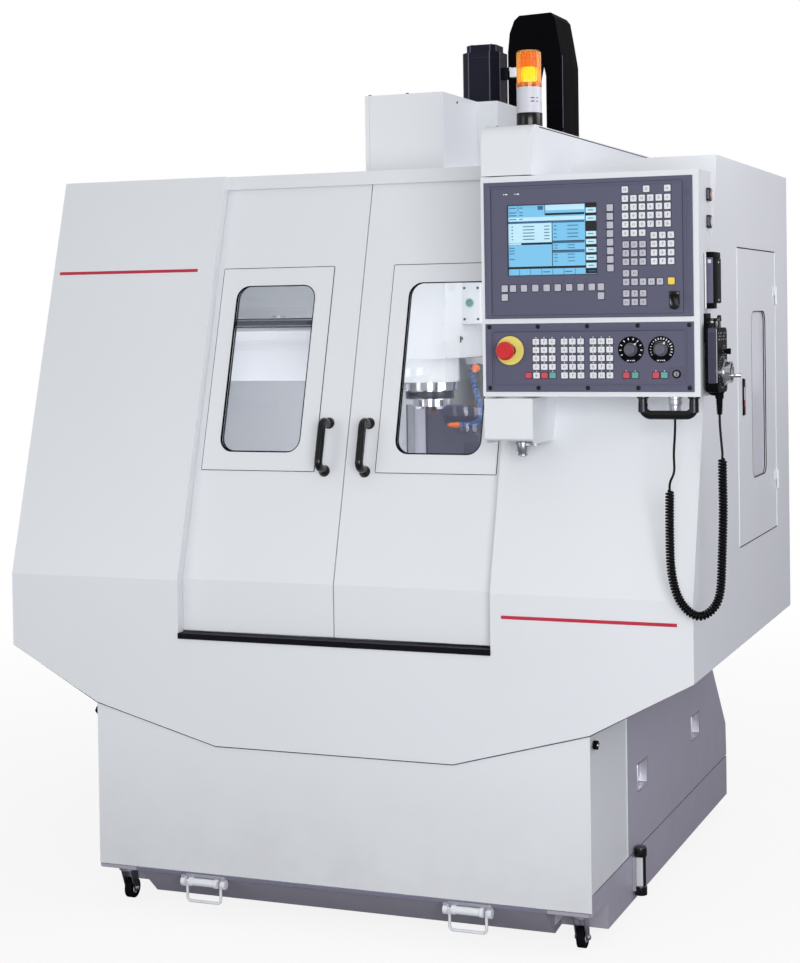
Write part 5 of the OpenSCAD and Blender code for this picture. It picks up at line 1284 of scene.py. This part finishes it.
def makeKnobs(k):
    # wing knob: hub with two lobes, a chrome screw head in the middle
    w = np.linspace(0, 2 * np.pi, 48, endpoint=False)
    radius = k["radius"] + k["lobe"] * np.cos(2 * w) ** 4 * (np.abs(np.cos(w)) > 0.5)
    loop = np.stack([radius * np.cos(w), radius * np.sin(w)], -1) + k["middle"]
    addPiece("cover_knobs", [slab(loop, lambda u, v, d: np.stack([s * (649.0 + d), u, v], -1),
                                  9.6) for s in bothSides], "blackPlastic", "tank", sharp=50)
    addPiece("cover_knob_screws", [capScrew((s * 658.4, *k["middle"]), s * right, 4.6, 2.0)
                                   for s in bothSides], "chrome", "tank")


makeKnobs(knob)

gauge = {"x": 662.5, "y": 385.0}


def makeGauge(x, y):
    # sight tube between two ends, with a pale window in its front
    def ring(profile, z, segments=40):
        return turned(profile, (x, y, z), up, segments)
    addPiece("gauge_tube", ring([(12.6, 0), (13.0, 0), (13.0, 74.0), (12.6, 74.0)], 66.0),
             "blackGloss", "tank")
    addPiece("gauge_ends", [ring([(15.1, 0), (15.6, 1.5), (15.6, 20.5), (15.1, 22.0)], z)
                            for z in (44.0, 140.0)]
             + [ring([(0, 0), (14.0, 0), (13.0, 2.0), (0, 2.0)], 162.0, 32)], "blackGloss",
             "tank")
    addPiece("gauge_window", boxPart(x - 8.0, x + 8.5, y - 15.0, y - 9.0, 67.0, 139.0, 1.4),
             "lensPale", "tank")


makeGauge(**gauge)

chin = {"half": 531.0, "section": [(7.0, 98.2), (90.0, 24.0), (142.0, 30.0), (142.0, 98.2)],
        "lip": (540.0, 98.0, 106.0), "bail": (347.0, -5.0, 86.0), "barHalf": 40.0}


def makeChin(c):
    # section in y and z carried across in x: its face slopes back and down from the lip
    addPiece("tank_chin", slab(c["section"],
                               lambda u, v, d: np.stack([d - c["half"], u, v], -1),
                               2 * c["half"]), "base", "tank")
    half, z0, z1 = c["lip"]
    # a dark strip over the tank's lip paints the shadow under the cover's bottom edge
    addPiece("tank_lip_shade", boxPart(-half, half, -0.9, 0.6, z0, z1, 0.3), "tankFace", "tank")
    # spring barrel between the legs of each bail, a collar over each lug, a plate behind
    b, (_, y, z) = c["barHalf"], c["bail"]
    barrel = [(0, -b), (10.5, -b), (11.5, -b + 1), (11.5, -b + 9), (9.5, -b + 11),
              (9.5, b - 11), (11.5, b - 9), (11.5, b - 1), (10.5, b), (0, b)]
    collar = [(0, -5.6), (11.6, -5.6), (12.4, -4.8), (12.4, 4.8), (11.6, 5.6), (0, 5.6)]
    bars, plates = [], []
    for x in (-c["bail"][0], c["bail"][0]):
        bars.append(turned(barrel, (x, y - 1.0, z), right, 32))
        bars += [turned(collar, (x + s * 55.0, y + 1.0, z), right, 28) for s in bothSides]
        plates += [boxPart(x - 58.0, x + 58.0, 1.5, 8.5, 82.0, 98.4, 1.0),
                   boxPart(x - 50.0, x + 56.0, -3.2, -0.6, 97.0, 104.5, 1.0)]
    addPiece("bail_barrels", bars, "keyPale", "tank", "steel")
    addPiece("bail_plates", plates, "silver", "tank")


makeChin(chin)

shadeLineAndCoverEdges = {"apron": [(-884.0, 648.4), (-646.0, 516.8), (-312.0, 426.8), (312.0, 426.8),
                   (646.0, 516.8), (884.0, 648.4)], "edge": (645.6, 648.2, 321.0, 324.6, 150.0,
                                                             505.0, 0.6)}
# painted shadow: a dark line under the apron's edge, in the gap over the cover; a folded edge
# where the cover meets the flank
addPiece("apron_shadow_line", tubeAlong(onFront(*np.array(shadeLineAndCoverEdges["apron"]).T, np.full(6, 1.6)), 1.5, 6),
         "slateDark", "frame", "black_rubber")
addPiece("cover_edges", [sideBox(s, *shadeLineAndCoverEdges["edge"]) for s in bothSides], "white", "tank")

caster = {"x": 600.0, "y": 84.0, "z": 25.0, "radius": 25.0}


def makeCasterBits(c, side, sign):
    # hub washers and a round tread on the wheel, axle nuts on the fork
    x, y, z = c["x"] * sign, c["y"], c["z"]
    addPiece("caster_hub_" + side, [turned([(0, 0), (12.0, 0), (12.0, 1.0), (8.0, 1.8),
                                            (8.0, 2.4), (0, 2.4)],
                                           (x + s * 9.05, y, z), s * right, 32)
                                    for s in bothSides], "greyPlastic", side + "_wheel")
    w = np.linspace(0, np.pi, 9)
    tread = np.vstack([[(24.0, -9.25)], np.stack([c["radius"] + 0.15 * np.sin(w),
                                                  -9.2 * np.cos(w)], -1), [(24.0, 9.25)]])
    addPiece("caster_tread_" + side, turned(tread, (x, y, z), right, 64), "rubber",
             side + "_wheel", sharp=60)
    addPiece("caster_nut_" + side, [turned([(0, 0), (6.0, 0), (6.0, 4.0), (5.0, 5.0), (0, 5.0)],
                                           (x + s * 14.0, y, z), s * right, 6)
                                    for s in bothSides], "steel", side + "_fork")


makeCasterBits(caster, "left", -1.0)
makeCasterBits(caster, "right", 1.0)
print("base")

# back of the machine

cabinet = {"y": 1578.0, "half": 110.0, "tops": (1640.0, 900.0), "rows": 7, "step": 22.0}


def makeLouvres(c):
    # pressed louvres: a half-round hood open below, in two blocks of the cabinet door
    w = np.linspace(0, np.pi / 2, 6)
    loop = np.vstack([np.stack([9.0 * np.sin(w), 12.0 * np.cos(w)], -1), [(7.6, 0.0)],
                      np.stack([7.6 * np.sin(w), 10.4 * np.cos(w)], -1)[::-1]])
    parts = [slab(loop + (c["y"], top - c["step"] * k),
                  lambda u, v, d: np.stack([d - c["half"], u, v], -1), 2 * c["half"])
             for top in c["tops"] for k in range(c["rows"])]
    addPiece("cabinet_louvres", parts, "white", "rear_door", sharp=50)
    addPiece("cabinet_lock", turned([(0, 0), (11.0, 0), (11.0, 2.0), (9.0, 3.4), (0, 3.4)],
                                    (-283.0, c["y"], 1366.0), back, 32), "chrome", "rear_door")


makeLouvres(cabinet)
addPiece("rear_glands", [turned([(0, 0), (16.0, 0), (16.0, 5.0), (13.0, 6.0), (13.0, 20.0),
                                 (9.0, 24.0), (0, 24.0)], (x, 1500.0, 700.0), -up, 32)
                         for x in (-220.0, -160.0, -100.0)], "blackPlastic", "frame")
print("back")

# studio: each lamp has its name, watts, place, aim, size and tint

studio = {"floor": (240, 241, 242), "bounce": (128, 128, 136), "world": 0.46, "half": 30.0,
          "glow": {"From Min": 1.3, "From Max": 4.5, "To Min": 0.86, "To Max": 1.0},
          "lamps": [
    ("key", 155.0, (2.6, -4.4, 1.5), (0.2, 0.2, 1.0), (3.0, 2.4), (1, 1, 1)),
    ("side", 30.0, (3.2, 0.8, 2.6), (0.9, 0.6, 1.6), (2.0, 2.0), (0.97, 0.94, 1.06)),
    ("fill", 40.0, (-3.2, -4.4, 1.6), (0.0, 0.5, 1.1), (2.5, 3.0), (0.96, 0.98, 1.0)),
    ("top", 12.0, (0.0, -0.5, 5.2), (0.0, 0.5, 0.0), (4.5, 4.5), (1, 1, 1)),
    ("upper", 0.7, (0.96, 0.25, 2.25), (0.2, 0.45, 1.95), (0.5, 0.5), (1, 1, 1)),
    ("chamber left", 3.0, (-0.34, 0.36, 0.96), (-0.36, 0.98, 1.22), (0.5, 0.3),
     (0.96, 0.97, 1.0)),
    ("chamber upper", 1.3, (-0.40, 0.42, 1.74), (-0.42, 1.0, 1.42), (0.6, 0.1), (1, 1, 1)),
    ("chamber middle", 0.3, (0.10, 0.31, 1.40), (0.12, 0.95, 1.35), (0.5, 0.6), (1, 1, 1)),
    ("chamber right", 3.0, (0.66, 0.46, 1.48), (0.05, 0.75, 1.42), (0.4, 0.6), (1, 1, 1))]}


def seenStraight(tree):
    # one for rays from the camera, also after they pass a clear pane, and zero for the rest
    rays = tree.nodes.new("ShaderNodeLightPath").outputs
    return mathNode(tree, "MAXIMUM", rays["Is Camera Ray"], rays["Is Transmission Ray"])


def floorPaper(s):
    # paper that the camera sees mostly at full white, more so far away, with shadows on it
    material, tree, shader = newMaterial("floor paper")
    light = tree.nodes.new("ShaderNodeEmission")
    away = tree.nodes.new("ShaderNodeVectorMath")
    ramp = tree.nodes.new("ShaderNodeMapRange")
    mix = tree.nodes.new("ShaderNodeMixShader")
    away.operation = "LENGTH"
    for label, value in s["glow"].items():
        ramp.inputs[label].default_value = value
    seen = seenStraight(tree)
    for value, socket in (
            (0.8, shader["Roughness"]), ((1.0, 1.0, 1.0, 1.0), light.inputs["Color"]),
            (1.0, light.inputs["Strength"]),
            (mixColour(tree, seen, rgba(s["bounce"]), rgba(s["floor"])), shader["Base Color"]),
            (tree.nodes.new("ShaderNodeTexCoord").outputs["Object"], away.inputs[0]),
            (away.outputs["Value"], ramp.inputs["Value"]),
            (mathNode(tree, "MULTIPLY", seen, ramp.outputs["Result"]), mix.inputs[0]),
            (tree.nodes["Principled BSDF"].outputs[0], mix.inputs[1]),
            (light.outputs[0], mix.inputs[2]),
            (mix.outputs[0], tree.nodes["Material Output"].inputs["Surface"])):
        feed(tree, value, socket)
    return material


def makeStudio(s):
    # a wide plain floor, four large soft lamps, five small ones that lift dark corners, and a
    # world; floor and world look white to the camera
    h = s["half"]
    makeObject("floor", np.array([[-h, -h, 0], [h, -h, 0], [h, h, 0], [-h, h, 0]]),
                        [[0, 1, 2, 3]], floorPaper(s), smooth=False)
    world = bpy.data.worlds.new("studio")
    world.use_nodes = True
    tree = world.node_tree
    sky = tree.nodes["Background"].inputs
    feed(tree, (1.0, 1.0, 1.0, 1.0), sky["Color"])
    feed(tree, mathNode(tree, "MULTIPLY_ADD", seenStraight(tree), 1.0 - s["world"], s["world"]),
         sky["Strength"])
    scene.world = world
    for name, watts, place, target, size, tint in s["lamps"]:
        data = bpy.data.lights.new(name, "AREA")
        data.shape, data.energy, data.color = "RECTANGLE", watts, tint
        data.size, data.size_y = size
        piece = bpy.data.objects.new(name, data)
        scene.collection.objects.link(piece)
        piece.location = np.array(place) - seat
        piece.rotation_mode = "QUATERNION"
        aim = Vector(np.subtract(target, place).tolist())
        piece.rotation_quaternion = aim.to_track_quat("-Z", "Y")


makeStudio(studio)
scene.view_settings.view_transform = "Standard"
